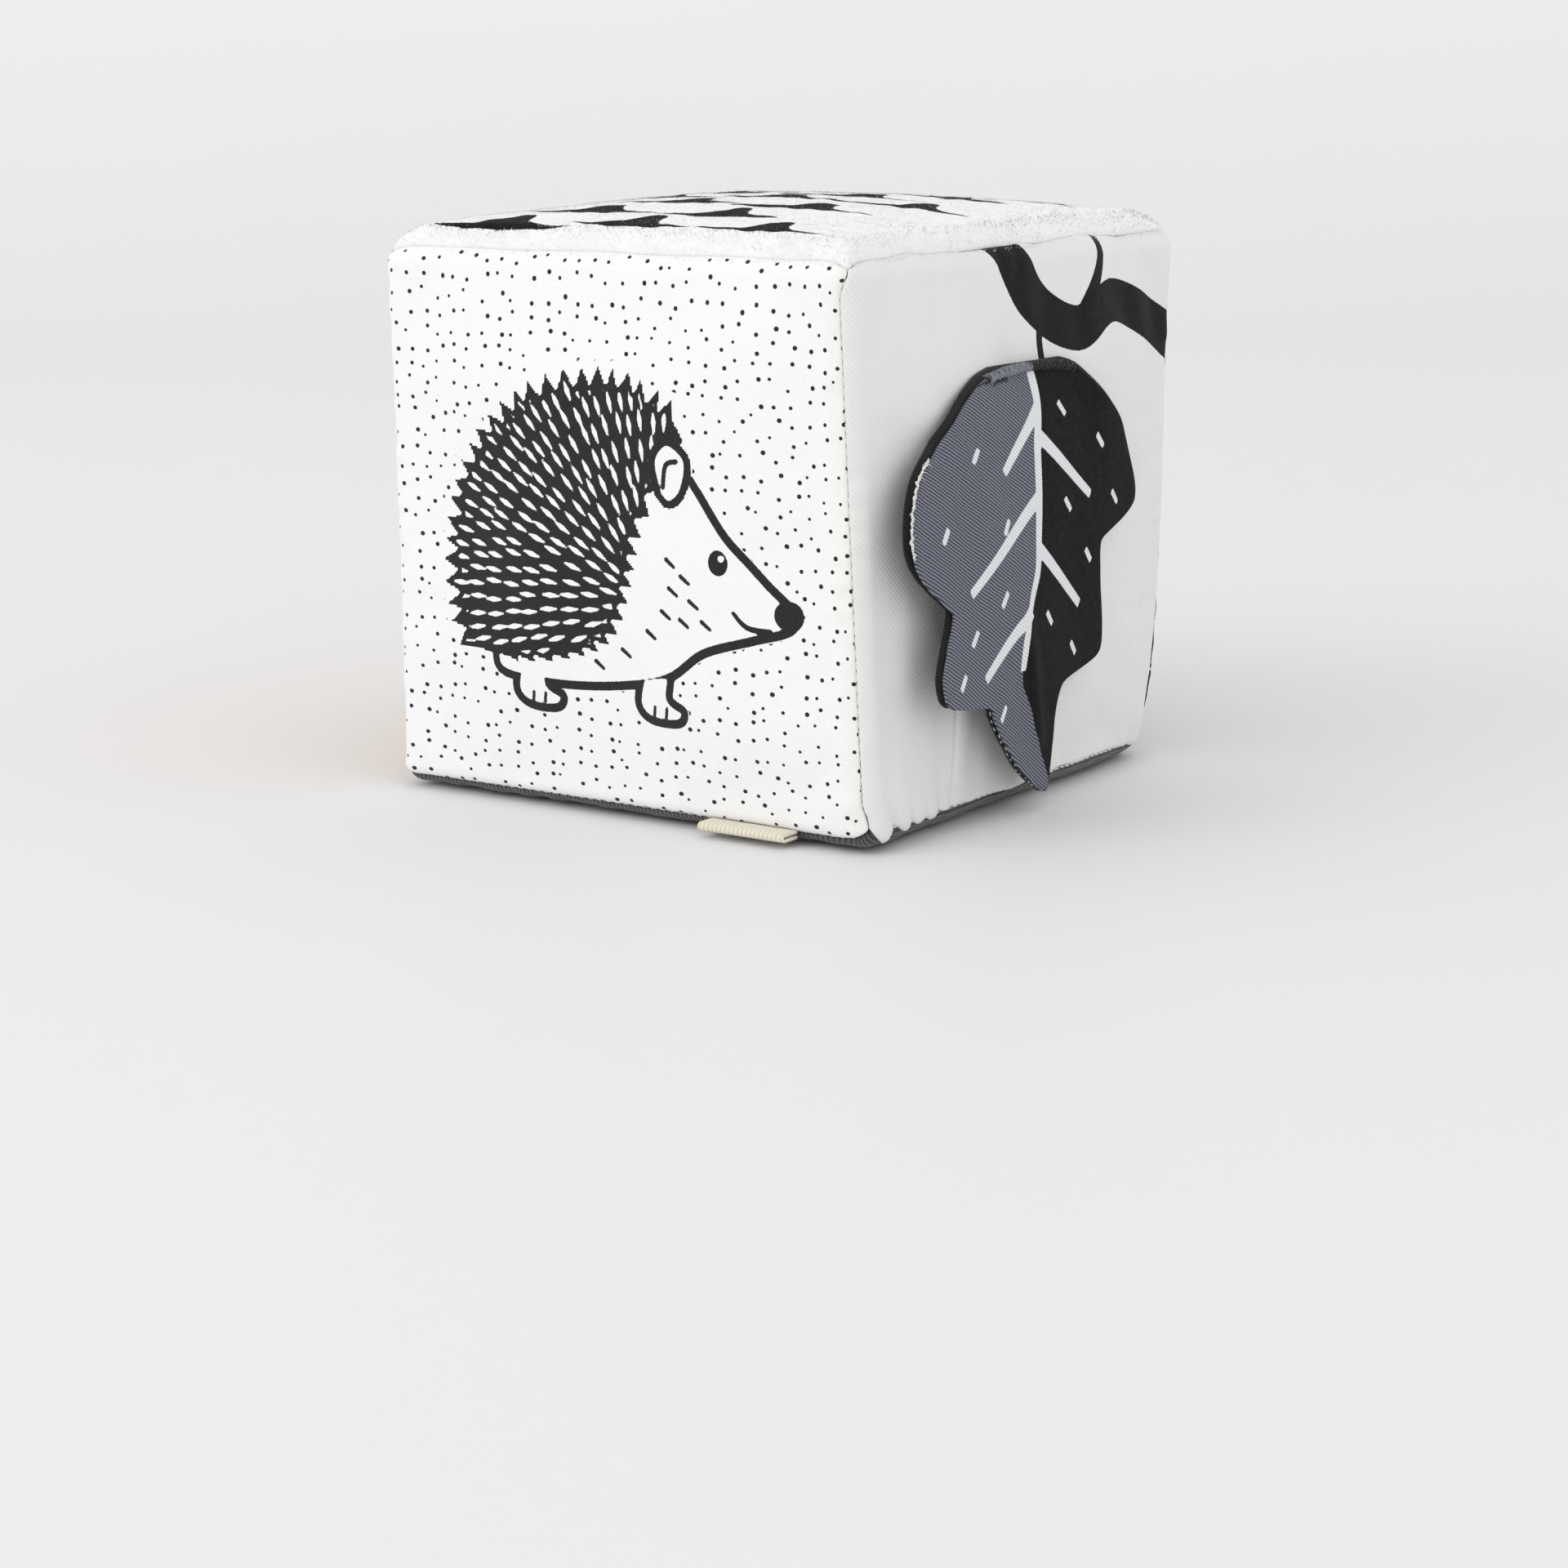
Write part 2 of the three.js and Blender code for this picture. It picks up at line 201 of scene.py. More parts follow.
def soft_waves(u, v, wave, seed):
    """Soft random unevenness, about -1 to 1, with humps about `wave` apart."""
    draw = np.random.default_rng(seed)
    total = 0
    for _ in range(14):
        turn = draw.uniform(0, 2 * np.pi)
        pitch = wave * draw.uniform(0.7, 1.6)
        start = draw.uniform(0, 6.3)
        total = total + np.sin((u * np.cos(turn) + v * np.sin(turn)) * 2 * np.pi / pitch + start)
    return total / 4.5


def cloth_lines(reach, pitch):
    """Where a panel's mesh has its lines, and how deep each lies; the outermost are turned in."""
    laid = np.linspace(-1, 1, 2 * round(reach / pitch) + 1) * (reach - seam_crease)
    depth = np.zeros(len(laid) + 4)
    depth[[0, -1]] = allowance
    depth[[1, -2]] = allowance / 3
    return np.concatenate([laid[[0, 0]], laid, laid[[-1, -1]]]), depth


def net(rows, columns):
    """The facets of a net of points, by rows and columns."""
    corner = np.arange(rows * columns).reshape(rows, columns)
    return np.stack([corner[:-1, :-1], corner[:-1, 1:], corner[1:, 1:], corner[1:, :-1]], axis=-1)


def make_piece(name, points, facets, body="block", **marks):
    """A mesh piece from points in millimetres over the floor, riding on a body if one is named."""
    used = np.unique(facets)
    lookup = np.zeros(used.max() + 1, int)
    lookup[used] = np.arange(len(used))
    facets = lookup[facets]
    mesh = bpy.data.meshes.new(name)
    mesh.vertices.add(len(used))
    mesh.vertices.foreach_set("co", (points[used] / 1000).ravel())
    mesh.loops.add(facets.size)
    mesh.loops.foreach_set("vertex_index", facets.ravel())
    mesh.polygons.add(len(facets))
    mesh.polygons.foreach_set("loop_start", np.arange(0, facets.size, facets.shape[1]))
    mesh.update(calc_edges=True)
    mesh.validate()
    mesh.shade_smooth()
    for mark, values in marks.items():
        values = np.asarray(values, float).reshape(len(points), -1)[used]
        kind, field = ("FLOAT", "value") if values.shape[1] == 1 else ("FLOAT_VECTOR", "vector")
        mesh.attributes.new(mark, kind, "POINT").data.foreach_set(field, values.ravel())
    piece = bpy.data.objects.new(name, mesh)
    bpy.context.scene.collection.objects.link(piece)
    if body:
        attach(piece, body)
    return piece


def hanging(y):
    """How far the right side's cloth hangs below its hem, at places along it."""
    drop = np.zeros(np.shape(y))
    for start, end, depth in lobes:
        drop += depth * np.sin(np.pi * np.clip((y + half[1] - start) / (end - start), 0, 1)) ** 0.6
    ragged = 0.12 * soft_waves(y, 0, 2.8, 61) + 0.22 * soft_waves(y, 0, 10, 62)
    return drop + ragged * smooth((half[1] - np.abs(y)) / 8)


# How the cover settles. Its six panels are blown up as one bag of slightly loose cloth that is
# held at its seams; what each panel then does beyond a plain swell is kept as its soft folds.
settle_lines = 33
settle_moments = 20
settle_limit = 1.2
loose_share = 0.008


def settle_cover():
    shares = np.linspace(-1, 1, settle_lines)
    dome = np.outer(1 - shares**2, 1 - shares**2)
    starts, ways = [], []
    for face in all_faces:
        across, up = np.meshgrid(shares * cloth_reach[face[2]], shares * cloth_reach[face[3]])
        uneven = 0.5 * soft_waves(across, up, 30, 70 + 2 * face[0] + face[1]) * dome**0.5
        starts.append(filled_out(on_block(face, across, up, uneven)))
        ways.append(way_out(face, across, up))
    starts = np.array(starts).reshape(-1, 3)
    panel = net(settle_lines, settle_lines).reshape(-1, 4)
    facets = np.concatenate([panel + settle_lines**2 * k for k in range(6)])
    _, first, own = np.unique(np.round(starts, 2), axis=0, return_index=True, return_inverse=True)
    own = own.reshape(-1)
    bag = make_piece("settling_bag", starts[first], own[facets])
    held = np.unique(own[np.tile((dome == 0).ravel(), 6)])
    bag.vertex_groups.new(name="seams").add(held.tolist(), 1.0, "REPLACE")
    cloth = bag.modifiers.new("settling", "CLOTH")
    cloth.settings.vertex_group_mass = "seams"
    cloth.settings.quality = 6
    cloth.settings.use_pressure = True
    cloth.settings.uniform_pressure_force = 4
    cloth.settings.shrink_min = -loose_share
    cloth.settings.bending_stiffness = 0.2
    cloth.settings.effector_weights.gravity = 0
    cloth.collision_settings.use_collision = False
    cloth.point_cache.frame_end = settle_moments
    for moment in range(1, settle_moments + 1):
        bpy.context.scene.frame_set(moment)
    blown = bag.evaluated_get(bpy.context.evaluated_depsgraph_get()).data
    ends = np.empty(3 * len(blown.vertices))
    blown.vertices.foreach_get("co", ends)
    moved = (ends.reshape(-1, 3) * 1000 - starts[first])[own]
    moved = moved.reshape(6, settle_lines, settle_lines, 3)
    bpy.data.objects.remove(bag)
    bpy.context.scene.frame_set(1)
    found = {}
    for face, panel_moved, way in zip(all_faces, moved, ways):
        swell = (panel_moved * way).sum(axis=-1)
        swell -= dome * (swell * dome).sum() / (dome**2).sum()
        found[face] = np.clip(swell, -settle_limit / 2, settle_limit)
    return found


def spline_shares(place):
    """Smooth weights of the four lines of the settled grid beside each place."""
    first = np.clip(np.floor(place), 0, settle_lines - 2).astype(int)
    t = place - first
    inner = (3 * t**3 - 6 * t**2 + 4) / 6, (-3 * t**3 + 3 * t**2 + 3 * t + 1) / 6
    lines = [np.clip(first + k, 0, settle_lines - 1) for k in (-1, 0, 1, 2)]
    return [*zip(lines, ((1 - t) ** 3 / 6, *inner, t**3 / 6))]


def settled(face, across, up):
    """How far a panel's cloth stands off its plain swell once the cover has settled."""
    if face not in settling:
        return 0.3 * soft_waves(across, up, 34, 3 * face[0] + face[1] + 5)
    along_a, along_b = ((np.clip(place / cloth_reach[axis], -1, 1) + 1) * (settle_lines - 1) / 2
                        for axis, place in zip(face[2:], (across, up)))
    return sum(settling[face][row, column] * high * wide for row, high in spline_shares(along_b)
               for column, wide in spline_shares(along_a))


def seam_move(face, axis, end, beside):
    """How far along its cloth a face's seam is moved, at lengths beside the seam's middle."""
    out, way, a, b = face
    other = b if axis == a else a
    from_corner = cloth_reach[other] - np.abs(beside)
    if out != 2 and axis != 2:
        at_foot, at_top, over = beside_edge.get((out, way, axis, end), (0.0, 0.0, 1))
        move = at_foot + (at_top - at_foot) * (1 + beside / half[other]) / 2
        return move * smooth(from_corner / over)
    if (way if out == 2 else end) > 0:
        move = tall_cut * (1 + tall_cut_wave * soft_waves(beside, 0, 34, 90))
        return move * (-end if out == 2 else 1) * smooth(from_corner / tall_cut_fade)
    side_axis, side = (axis, end) if out == 2 else (out, way)
    corners = [hem_at_corner[(side, s) if side_axis == 0 else (s, side)] for s in (-1, 1)]
    at_corner, over = (np.where(beside < 0, low, high) for low, high in zip(*corners))
    rise = hem[(side_axis, side)]
    from_end = np.clip(from_corner / over, 0, 1)
    rise = rise + (at_corner - rise) * (1 - np.sqrt(1 - (1 - from_end) ** 2))
    if face[:2] == (0, 1):
        rise = rise - hanging(beside)
    return rise * (end if out == 2 else 1)


def seam_shift(face, across, up):
    """How far the cloth of a face is moved along itself, near seams that aren't on its edges."""
    a, b = face[2:]
    moved = []
    for axis, along, beside in ((a, across, up), (b, up, across)):
        near = smooth(4 * np.abs(along) / cloth_reach[axis] - 3)
        low, high = (seam_move(face, axis, end, beside) for end in (-1, 1))
        moved.append(near * np.where(along < 0, low, high))
    return moved


def sewn_panel(name, node, face, pitch, raised, prints=lambda across, up: {}):
    """One panel of the cover as an open sheet, with its prints and its places on the cut cloth."""
    a, b = face[2:]
    across_lines, across_depth = cloth_lines(cloth_reach[a], pitch)
    up_lines, up_depth = cloth_lines(cloth_reach[b], pitch)
    across, up = np.meshgrid(across_lines, up_lines)
    depth = np.maximum(*np.meshgrid(across_depth, up_depth))
    to_side, to_end = cloth_reach[a] - np.abs(across), cloth_reach[b] - np.abs(up)
    crease = crease_depth * np.exp(-np.minimum(to_side, to_end) / crease_reach)
    pucker = 0.0
    for to_seam, along, side in ((to_side, up, across), (to_end, across, up)):
        wave = pucker_height * soft_waves(along, np.sign(side) * 40.0, pucker_pitch, len(name))
        pucker = pucker + wave * to_seam / pucker_reach * np.exp(1 - to_seam / pucker_reach)
    lift = raised(across, up) + pucker - crease - depth
    shift_across, shift_up = seam_shift(face, across, up)
    points = filled_out(on_block(face, across + shift_across, up + shift_up, lift)).reshape(-1, 3)
    facets = net(*across.shape)
    kept = np.ones(facets.shape[:2], bool)
    turned = np.array([0, 1, -2, -1])
    kept[turned[:, None], turned] = False
    place = np.stack([across, up, 0 * up], axis=-1)
    piece = make_piece(name, points, facets[kept], place=place, **prints(across, up))
    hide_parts(node)
    return piece


settling = settle_cover()


def soft_line(points, steps=6):
    """More points along a smooth line through the given ones."""
    p = np.array([points[0], *points, points[-1]], float)
    found = []
    for a, b, c, d in zip(p, p[1:], p[2:], p[3:]):
        for t in np.arange(steps) / steps:
            bend = (2 * a - 5 * b + 4 * c - d) * t**2 / 2 + (3 * b - a - 3 * c + d) * t**3 / 2
            found.append(b + (c - a) * t / 2 + bend)
    return np.array([*found, p[-1]])


def to_stretch(u, v, start, end):
    """Distance of each place from a straight stretch, and how far along it is nearest."""
    du, dv = end[0] - start[0], end[1] - start[1]
    along = np.clip(((u - start[0]) * du + (v - start[1]) * dv) / (du * du + dv * dv + 1e-9), 0, 1)
    return np.hypot(u - start[0] - along * du, v - start[1] - along * dv), along


def brushed(u, v, points, widths):
    """How far each place is from the edge of a brushed line; it is below 0 in the ink."""
    widths = np.interp(np.linspace(0, 1, len(points)), np.linspace(0, 1, len(widths)), widths)
    nearest = np.full(u.shape, 99.0)
    for start, end, start_width, end_width in zip(points, points[1:], widths, widths[1:]):
        away, along = to_stretch(u, v, start, end)
        nearest = np.minimum(nearest, away - (start_width + (end_width - start_width) * along) / 2)
    return nearest


def drawn_shape(u, v, points):
    """How far each place is from the edge of a closed shape; it is below 0 inside."""
    nearest = np.full(u.shape, 99.0)
    inside = np.zeros(u.shape, bool)
    for start, end in zip(points, np.roll(points, -1, axis=0)):
        nearest = np.minimum(nearest, to_stretch(u, v, start, end)[0])
        if end[1] != start[1]:
            crossing = start[0] + (v - start[1]) * (end[0] - start[0]) / (end[1] - start[1])
            inside ^= ((start[1] > v) != (end[1] > v)) & (u < crossing)
    return np.where(inside, -nearest, nearest)


def round_shape(u, v, points):
    return drawn_shape(u, v, soft_line([*points, points[0]]))


animal_place = (-7, 5)
pen_width = 2.1


def hedgehog(across, up):
    """Marks for the animal: its ink, and the whole of it, which the ground's dots leave free."""
    u, v = across - animal_place[0], up - animal_place[1]
    draw = np.random.default_rng(11)

    def on_coat(turn, share):
        wide = 40 if np.cos(turn) > 0 else 47
        return np.array([6 + share * wide * np.cos(turn), share * 46 * np.sin(turn) - 14])

    turns = np.radians(np.linspace(57, 207, 51) + draw.uniform(-0.7, 0.7, 51))
    tips = [1.06 if k % 2 else draw.uniform(0.955, 0.975) for k in range(51)]
    fringe = soft_line([(-24, -35), (-8, -33), (5, -27), (11, -14), (15, 0), (27, 20)], 7)
    fringe[1::2] += [3.2, -1.6]
    coat = drawn_shape(u, v, np.array([*map(on_coat, turns, tips), *fringe]))
    quills = np.full(u.shape, 99.0)
    for row, out in enumerate(np.arange(9, 74, 5.6)):
        for turn in np.arange(np.radians(30) + (row % 2) * 1.7 / out, np.radians(225), 3.4 / out):
            turn += draw.uniform(-0.6, 0.6) / out
            ends = out + np.array([-2.5, 0, 2.2]) + draw.uniform(-0.8, 0.8)
            line = np.stack([21 + ends * np.cos(turn), ends * np.sin(turn) - 20], axis=-1)
            quills = np.minimum(quills, brushed(u, v, line, [0.5, 1.35, 0.5]))
    quills = np.maximum(quills, coat + 1.4)
    face_and_belly = [
        (10, 4), (25, 16), (32, 9), (40, -2), (50, -11.5), (57.5, -18), (56, -22), (46, -25),
        (33, -29), (22, -36), (4, -39.5), (-14, -40), (-27, -37), (-20, -22),
    ]
    foot = np.array([(0, -36), (-1.5, -42.5), (2, -46), (10, -46), (12, -43), (8, -40.5), (8, -35)])
    feet = [round_shape(u, v, foot + [x, 0]) for x in (-20, 15)]
    skin = np.minimum.reduce([round_shape(u, v, face_and_belly), *feet])
    ink = np.where(coat < 0, np.maximum(coat, -quills), np.abs(skin) - pen_width / 2)
    ear = round_shape(u, v, [(22, 6), (20.5, 14), (25, 18.5), (30.5, 14.5), (29, 7), (25, 4)])
    ink = np.where(ear < pen_width / 2, np.abs(ear) - pen_width / 2, ink)
    eye = np.maximum(np.hypot((u - 38) / 0.85, v + 8) - 2.9, 0.8 - np.hypot(u - 38.8, v + 7))
    nose = np.hypot((u - 56) / 1.15, v + 18.6) - 3.4
    mouth = brushed(u, v, soft_line([(51, -22.6), (45, -22), (41.5, -19)]), [1.5, 1.0])
    fold = brushed(u, v, soft_line([(23.5, 8), (24.5, 13), (27.5, 14)]), [1.2])
    marks = [
        (25, -9), (29, -12.5), (25.5, -15.5), (31, -18), (23, -21),
        (28, -22.5), (18.5, -26), (11, -31), (3, -34.5), (34, -22.5),
    ]
    hairs = [brushed(u, v, [(x - 1.1, y + 0.8), (x + 1.1, y - 0.8)], [1.1, 0.9]) for x, y in marks]
    toes = [brushed(u, v, [(x, -45), (x + 0.4, -42.8)], [0.9]) for x in (-17, -13.5, 18, 21.5)]
    ink = np.minimum.reduce([ink, eye, nose, mouth, fold, *hairs, *toes])
    return {"ink": ink, "animal": np.minimum.reduce([coat, skin, ear])}


class Finish:
    """One material, and the nodes that give it its colour, weave and wear."""

    def __init__(self, name, roughness, on_cloth=False, **constants):
        self.on_cloth = on_cloth
        self.material = bpy.data.materials.new(name)
        self.material.use_nodes = True
        self.tree = self.material.node_tree
        self.shader = self.tree.nodes["Principled BSDF"]
        self.shader.inputs["Roughness"].default_value = roughness
        for constant, value in constants.items():
            title = constant.replace("_", " ").title().replace("Ior", "IOR")
            self.shader.inputs[title].default_value = value

    def node(self, kind, inputs=(), **settings):
        made = self.tree.nodes.new("ShaderNode" + kind)
        for setting, value in settings.items():
            setattr(made, setting, value)
        for socket, value in dict(inputs).items():
            if isinstance(value, bpy.types.NodeSocket):
                self.tree.links.new(value, made.inputs[socket])
            else:
                value = shade(value) if isinstance(value, str) else value
                made.inputs[socket].default_value = value
        return made.outputs

    def sum(self, operation, *values):
        return self.node("Math", enumerate(values), operation=operation)[0]

    def scaled(self, value, by, more=0.0):
        return self.sum("MULTIPLY_ADD", value, by, more)

    def mark(self, name):
        """A print that was drawn on the mesh."""
        return self.node("Attribute", attribute_name=name)["Fac"]

    @cached_property
    def place(self):
        """The place on a cloth as it is cut, in millimetres, or else on the piece, in metres."""
        if self.on_cloth:
            return self.node("Attribute", attribute_name="place")["Vector"]
        return self.node("TexCoord")["Object"]

    def noise(self, scale, detail=2.0, uneven=0.0):
        noise = {"Vector": self.place, "Scale": scale, "Detail": detail, "Distortion": uneven}
        return self.node("TexNoise", noise)["Fac"]

    def twist(self, scale, uneven):
        """The slanting twist of a thread."""
        wave = {"Vector": self.place, "Scale": scale, "Distortion": uneven}
        return self.node("TexWave", wave, bands_direction="DIAGONAL")[1]

    def step(self, value, start, end, low=0.0, high=1.0):
        return self.node("MapRange", enumerate((value, start, end, low, high)))[0]

    def swing(self, turn):
        """0 to 1 and back over each full turn."""
        return self.step(self.sum("SINE", turn), -1, 1)

    def mix(self, share, first, second):
        colours = {0: share, 6: first, 7: second}
        return self.node("Mix", colours, data_type="RGBA")[2]

    def colour(self, *parts):
        """Its colour: one value, or a share and the two colours that it mixes."""
        value = self.mix(*parts) if len(parts) > 1 else parts[0]
        self.tree.links.new(value, self.shader.inputs["Base Color"])

    def relief(self, height, depth):
        bump = self.node("Bump", {"Distance": depth / 1000, "Height": height})[0]
        self.tree.links.new(bump, self.shader.inputs["Normal"])

    def wear(self, scale, low, high):
        roughness = self.step(self.noise(scale), 0.3, 0.7, low, high)
        self.tree.links.new(roughness, self.shader.inputs["Roughness"])

    def put_on(self, piece):
        piece.data.materials.append(self.material)


def shade(hex_colour):
    """A colour as the shader takes it, from its usual six figures."""
    parts = [int(hex_colour[k : k + 2], 16) / 255 for k in (0, 2, 4)]
    return (*[p / 12.92 if p < 0.04045 else ((p + 0.055) / 1.055) ** 2.4 for p in parts], 1.0)


class Twill(Finish):
    """A twill cloth: diagonal wales of fine yarn that sway a little, and a soft bloom."""

    yarn_pitch = 0.42

    def __init__(self, name, wale, turn, low, high,
                 depth=0.09, bloom=0.15, sway=1.2, sway_scale=0.25):
        super().__init__(name, 0.85, on_cloth=True,
                         sheen_weight=bloom, sheen_roughness=0.5, specular_ior_level=0.2)
        self.u, v, _ = self.node("SeparateXYZ", {0: self.place})
        across_u = self.scaled(self.u, np.cos(np.radians(turn)))
        across = self.sum("ADD", across_u, self.scaled(v, np.sin(np.radians(turn))))
        wobble = self.scaled(self.noise(sway_scale), sway)
        self.wale = self.swing(self.scaled(across, 2 * np.pi / wale, wobble))
        yarn = self.swing(self.scaled(self.u, 2 * np.pi / self.yarn_pitch))
        self.fleck = self.noise(1.9, 3)
        self.relief(self.scaled(yarn, 0.2, self.scaled(self.wale, 0.6, self.fleck)), depth)
        self.wear(0.5, 0.78, 0.92)
        # The cloth is darker down between the wales than on them. On the pale cloths this is
        # painted shade in the weave, with the yarn's own random flecks; on the leaf's blue-grey
        # cloth the two tones are partly its two yarns and partly painted shade.
        tone = self.scaled(self.fleck, 0.4, self.scaled(self.wale, 0.8, -0.1))
        self.cloth = self.mix(tone, low, high)

    def inked(self, share, ink, worn_ink):
        """The cloth with ink where the share is 1, a little worn on the wales."""
        worn = self.mix(self.scaled(self.wale, 0.5), ink, worn_ink)
        return self.mix(share, self.cloth, worn)

    def printed(self, mark):
        """1 in the ink of a print drawn on the mesh, with an edge that follows the yarns."""
        edge = self.sum("SUBTRACT", self.mark(mark), 0.15)
        return self.step(self.scaled(self.fleck, 0.3, edge), -0.06, 0.06, 1.0, 0.0)

    def scattered(self, pitch, small, large, tall=1.0, jitter=0.8):
        """1 in loose dots about `pitch` apart, each with its own radius."""
        squeeze = {0: self.place, 1: (1 / pitch, 1 / pitch / tall, 0)}
        place = self.node("VectorMath", squeeze, operation="MULTIPLY")[0]
        cells = {"Vector": place, "Scale": 1.0, "Randomness": jitter}
        dots = self.node("TexVoronoi", cells, voronoi_dimensions="2D")
        own = self.node("SeparateColor", {0: dots["Color"]})[0]
        size = self.step(own, 0, 1, small / pitch, large / pitch)
        past = self.sum("SUBTRACT", dots["Distance"], size)
        return self.step(past, -0.05 / pitch, 0.05 / pitch, 1.0, 0.0)


front = sewn_panel("front_cloth", "front_dotted_panel",
                   front_face, 0.5, partial(settled, front_face), hedgehog)
dotted = Twill("printed_white_twill", 0.7, 40, "ededed", "fafafb", depth=0.07)
dots = dotted.scattered(4.6, 0.4, 0.64, tall=0.87, jitter=0.66)
dots = dotted.scaled(dots, dotted.step(dotted.mark("animal"), 1.2, 1.4))
margin = dotted.step(dotted.u, cloth_reach[0] - 5.5, cloth_reach[0] - 2.5, 0, 0.5)
dotted.cloth = dotted.mix(margin, dotted.cloth, "efece4")
front_ink = dotted.sum("MAXIMUM", dotted.printed("ink"), dots)
dotted.colour(dotted.inked(front_ink, "1f1f22", "323235"))
dotted.put_on(front)

# Right panel. White twill with a printed bough, coloured a greyer white than the front as painted
# shade for the side turned away from the window lamp;
# sewn like the front panel; its cloth rolls round the near edge, hangs in soft upright folds and is
# gathered at its lower seam.


def right_folds(across, up):
    """How far the right cloth stands out: its upright folds, its lobes and a short crease."""
    upright = soft_waves(across, up * 0.16, 13, 21) * 0.25
    upright = upright + soft_waves(across, up * 0.1, 26, 22) * 0.4
    height = np.maximum(cloth_reach[2] + up, 0)
    drawn = 0.0
    for _, place, depth in lobes:
        line = across + half[1] - place - 0.3 + 0.1 * height
        drawn = drawn - 0.4 * depth * np.exp(-((line / (0.9 + 0.11 * height)) ** 2) - height / 9)
    puffed = 0.35 * hanging(across) * np.exp(-height / 5)
    crease = -0.4 * np.exp(-(((across + 33) / 0.6) ** 2))
    crease = crease * smooth((up + 66) / 8) * smooth((-8 - up) / 30)
    return upright + drawn + puffed + crease + settled(right_face, across, up)


def bough(across, up):
    """Mark for the ink of the bough: its main stem, a twig and a stalk."""
    main = soft_line([(-8, 68), (2, 52), (20, 44), (38, 49), (68, 38)], 10)
    twig = soft_line([(20, 44), (31, 57), (34, 69)], 8)
    stalk = soft_line([(8, 49), (4, 43), (5, 34)])
    return {"ink": np.minimum.reduce([
        brushed(across, up, main, [13, 11, 10.5, 9.5, 11]),
        brushed(across, up, twig, [5.5, 3.2, 2.6]),
        brushed(across, up, stalk, [4, 2.6, 2.8]),
    ])}


right = sewn_panel("right_cloth", "right_plain_panel",
                   right_face, 0.5, right_folds, bough)
# The cloth's greyer white is painted shade for this side, which is turned away from the window
# lamp.
right_finish = Twill("natural_twill", 0.83, 41, "e1e1e0", "ebebea", depth=0.06, bloom=0.06)
right_finish.colour(right_finish.inked(right_finish.printed("ink"), "0c0c0e", "1d1d20"))
right_finish.put_on(right)

# Back panel. Black twill with a fine white speckle, cut square like the front panel; its
# lower seam is left open in the middle until the cover is filled.
back = sewn_panel("back_cloth", "back_speckled_panel",
                  back_face, 0.7, partial(settled, back_face))
back_finish = Twill("speckled_black_twill", 0.7, 50, "18181a", "2c2c2f")
specks = back_finish.scattered(2.3, 0.22, 0.46, tall=1.25, jitter=1.0)
back_finish.colour(specks, back_finish.cloth, "e6e5e1")
back_finish.put_on(back)

# Left panel. Mustard twill with small white seeds printed on it, cut square like the front
# panel and sewn to its four neighbours in the same way.
left = sewn_panel("left_cloth", "left_mustard_panel",
                  left_face, 0.7, partial(settled, left_face))
left_finish = Twill("mustard_twill", 0.75, 50, "a87626", "c8943c")
seeds = left_finish.scattered(8.5, 0.5, 1.15, tall=0.62, jitter=0.85)
left_finish.colour(seeds, left_finish.cloth, "f0ede4")
left_finish.put_on(left)

# Bottom panel. Charcoal rib knit, pressed flat where the block stands on it, with its
# ribs running from the front to the back and turned up a little at every seam.
knit_rib_pitch = 1.15
knit_loop_pitch = 0.7


def knit_lie(across, up):
    return 0.12 * soft_waves(across, up, 24, 8) - 0.1


bottom = sewn_panel("bottom_cloth", "bottom_knit_panel",
                    bottom_face, 0.7, knit_lie)
knit = Finish("charcoal_rib_knit", 0.9, on_cloth=True,
              sheen_weight=0.3, sheen_roughness=0.45, specular_ior_level=0.2)
along_rib, across_rib, _ = knit.node("SeparateXYZ", {0: knit.place})
rib = knit.swing(knit.scaled(across_rib, 2 * np.pi / knit_rib_pitch))
leg = knit.sum("ABSOLUTE", knit.sum("SINE", knit.scaled(across_rib, np.pi / knit_rib_pitch)))
loop = knit.swing(knit.scaled(leg, 2.0, knit.scaled(along_rib, 2 * np.pi / knit_loop_pitch)))
knit_height = knit.scaled(loop, 0.35, rib)
knit.relief(knit_height, 0.22)
# Darker down between the ribs and loops than on them: painted shade in the knit, with a random
# fleck.
knit_tone = knit.scaled(knit.noise(2.4, 3), 0.3, knit.scaled(knit_height, 0.6))
knit.colour(knit_tone, "0f0f10", "686562")
knit.put_on(bottom)

# Top panel. White plush: a knitted ground that carries a dense short pile, printed with
# rows of tapering black brush marks. The pile's body rounds over the seams all the way round.
plush_body = 4.2
plush_round = 8.0
pile_count = 26000
pile_height = 0.45
pile_foot = 0.06
pile_root = 0.3


def brush_marks(across, up):
    """How far each place is from the edge of a brush mark; it is below 0 in the ink."""
    draw = np.random.default_rng(23)
    wedge = np.array([
        (-22, -0.4), (-11, 1), (-7, 3), (-4.4, 7), (-2.4, 12), (1.6, 13.4),
        (4, 10), (6.8, 5.6), (11, 2.4), (22, 0.2), (10, -1.8), (-7, -2),
    ])
    ink = np.full(across.shape, 99.0)
    for row, line in enumerate((-59, -41, -23, -5, 13, 31, 47)):
        for place in np.arange(-37 + 12 * (row % 3), 38, 37.0):
            size = draw.uniform(0.8, 1.05, 2) * [1 if row % 2 else -1, 1]
            middle_line = line + draw.uniform(-2, 2)
            mark = soft_line([*wedge, wedge[0]], 3) * size + [place, middle_line]
            ink = np.minimum(ink, drawn_shape(across, up, mark))
    return ink


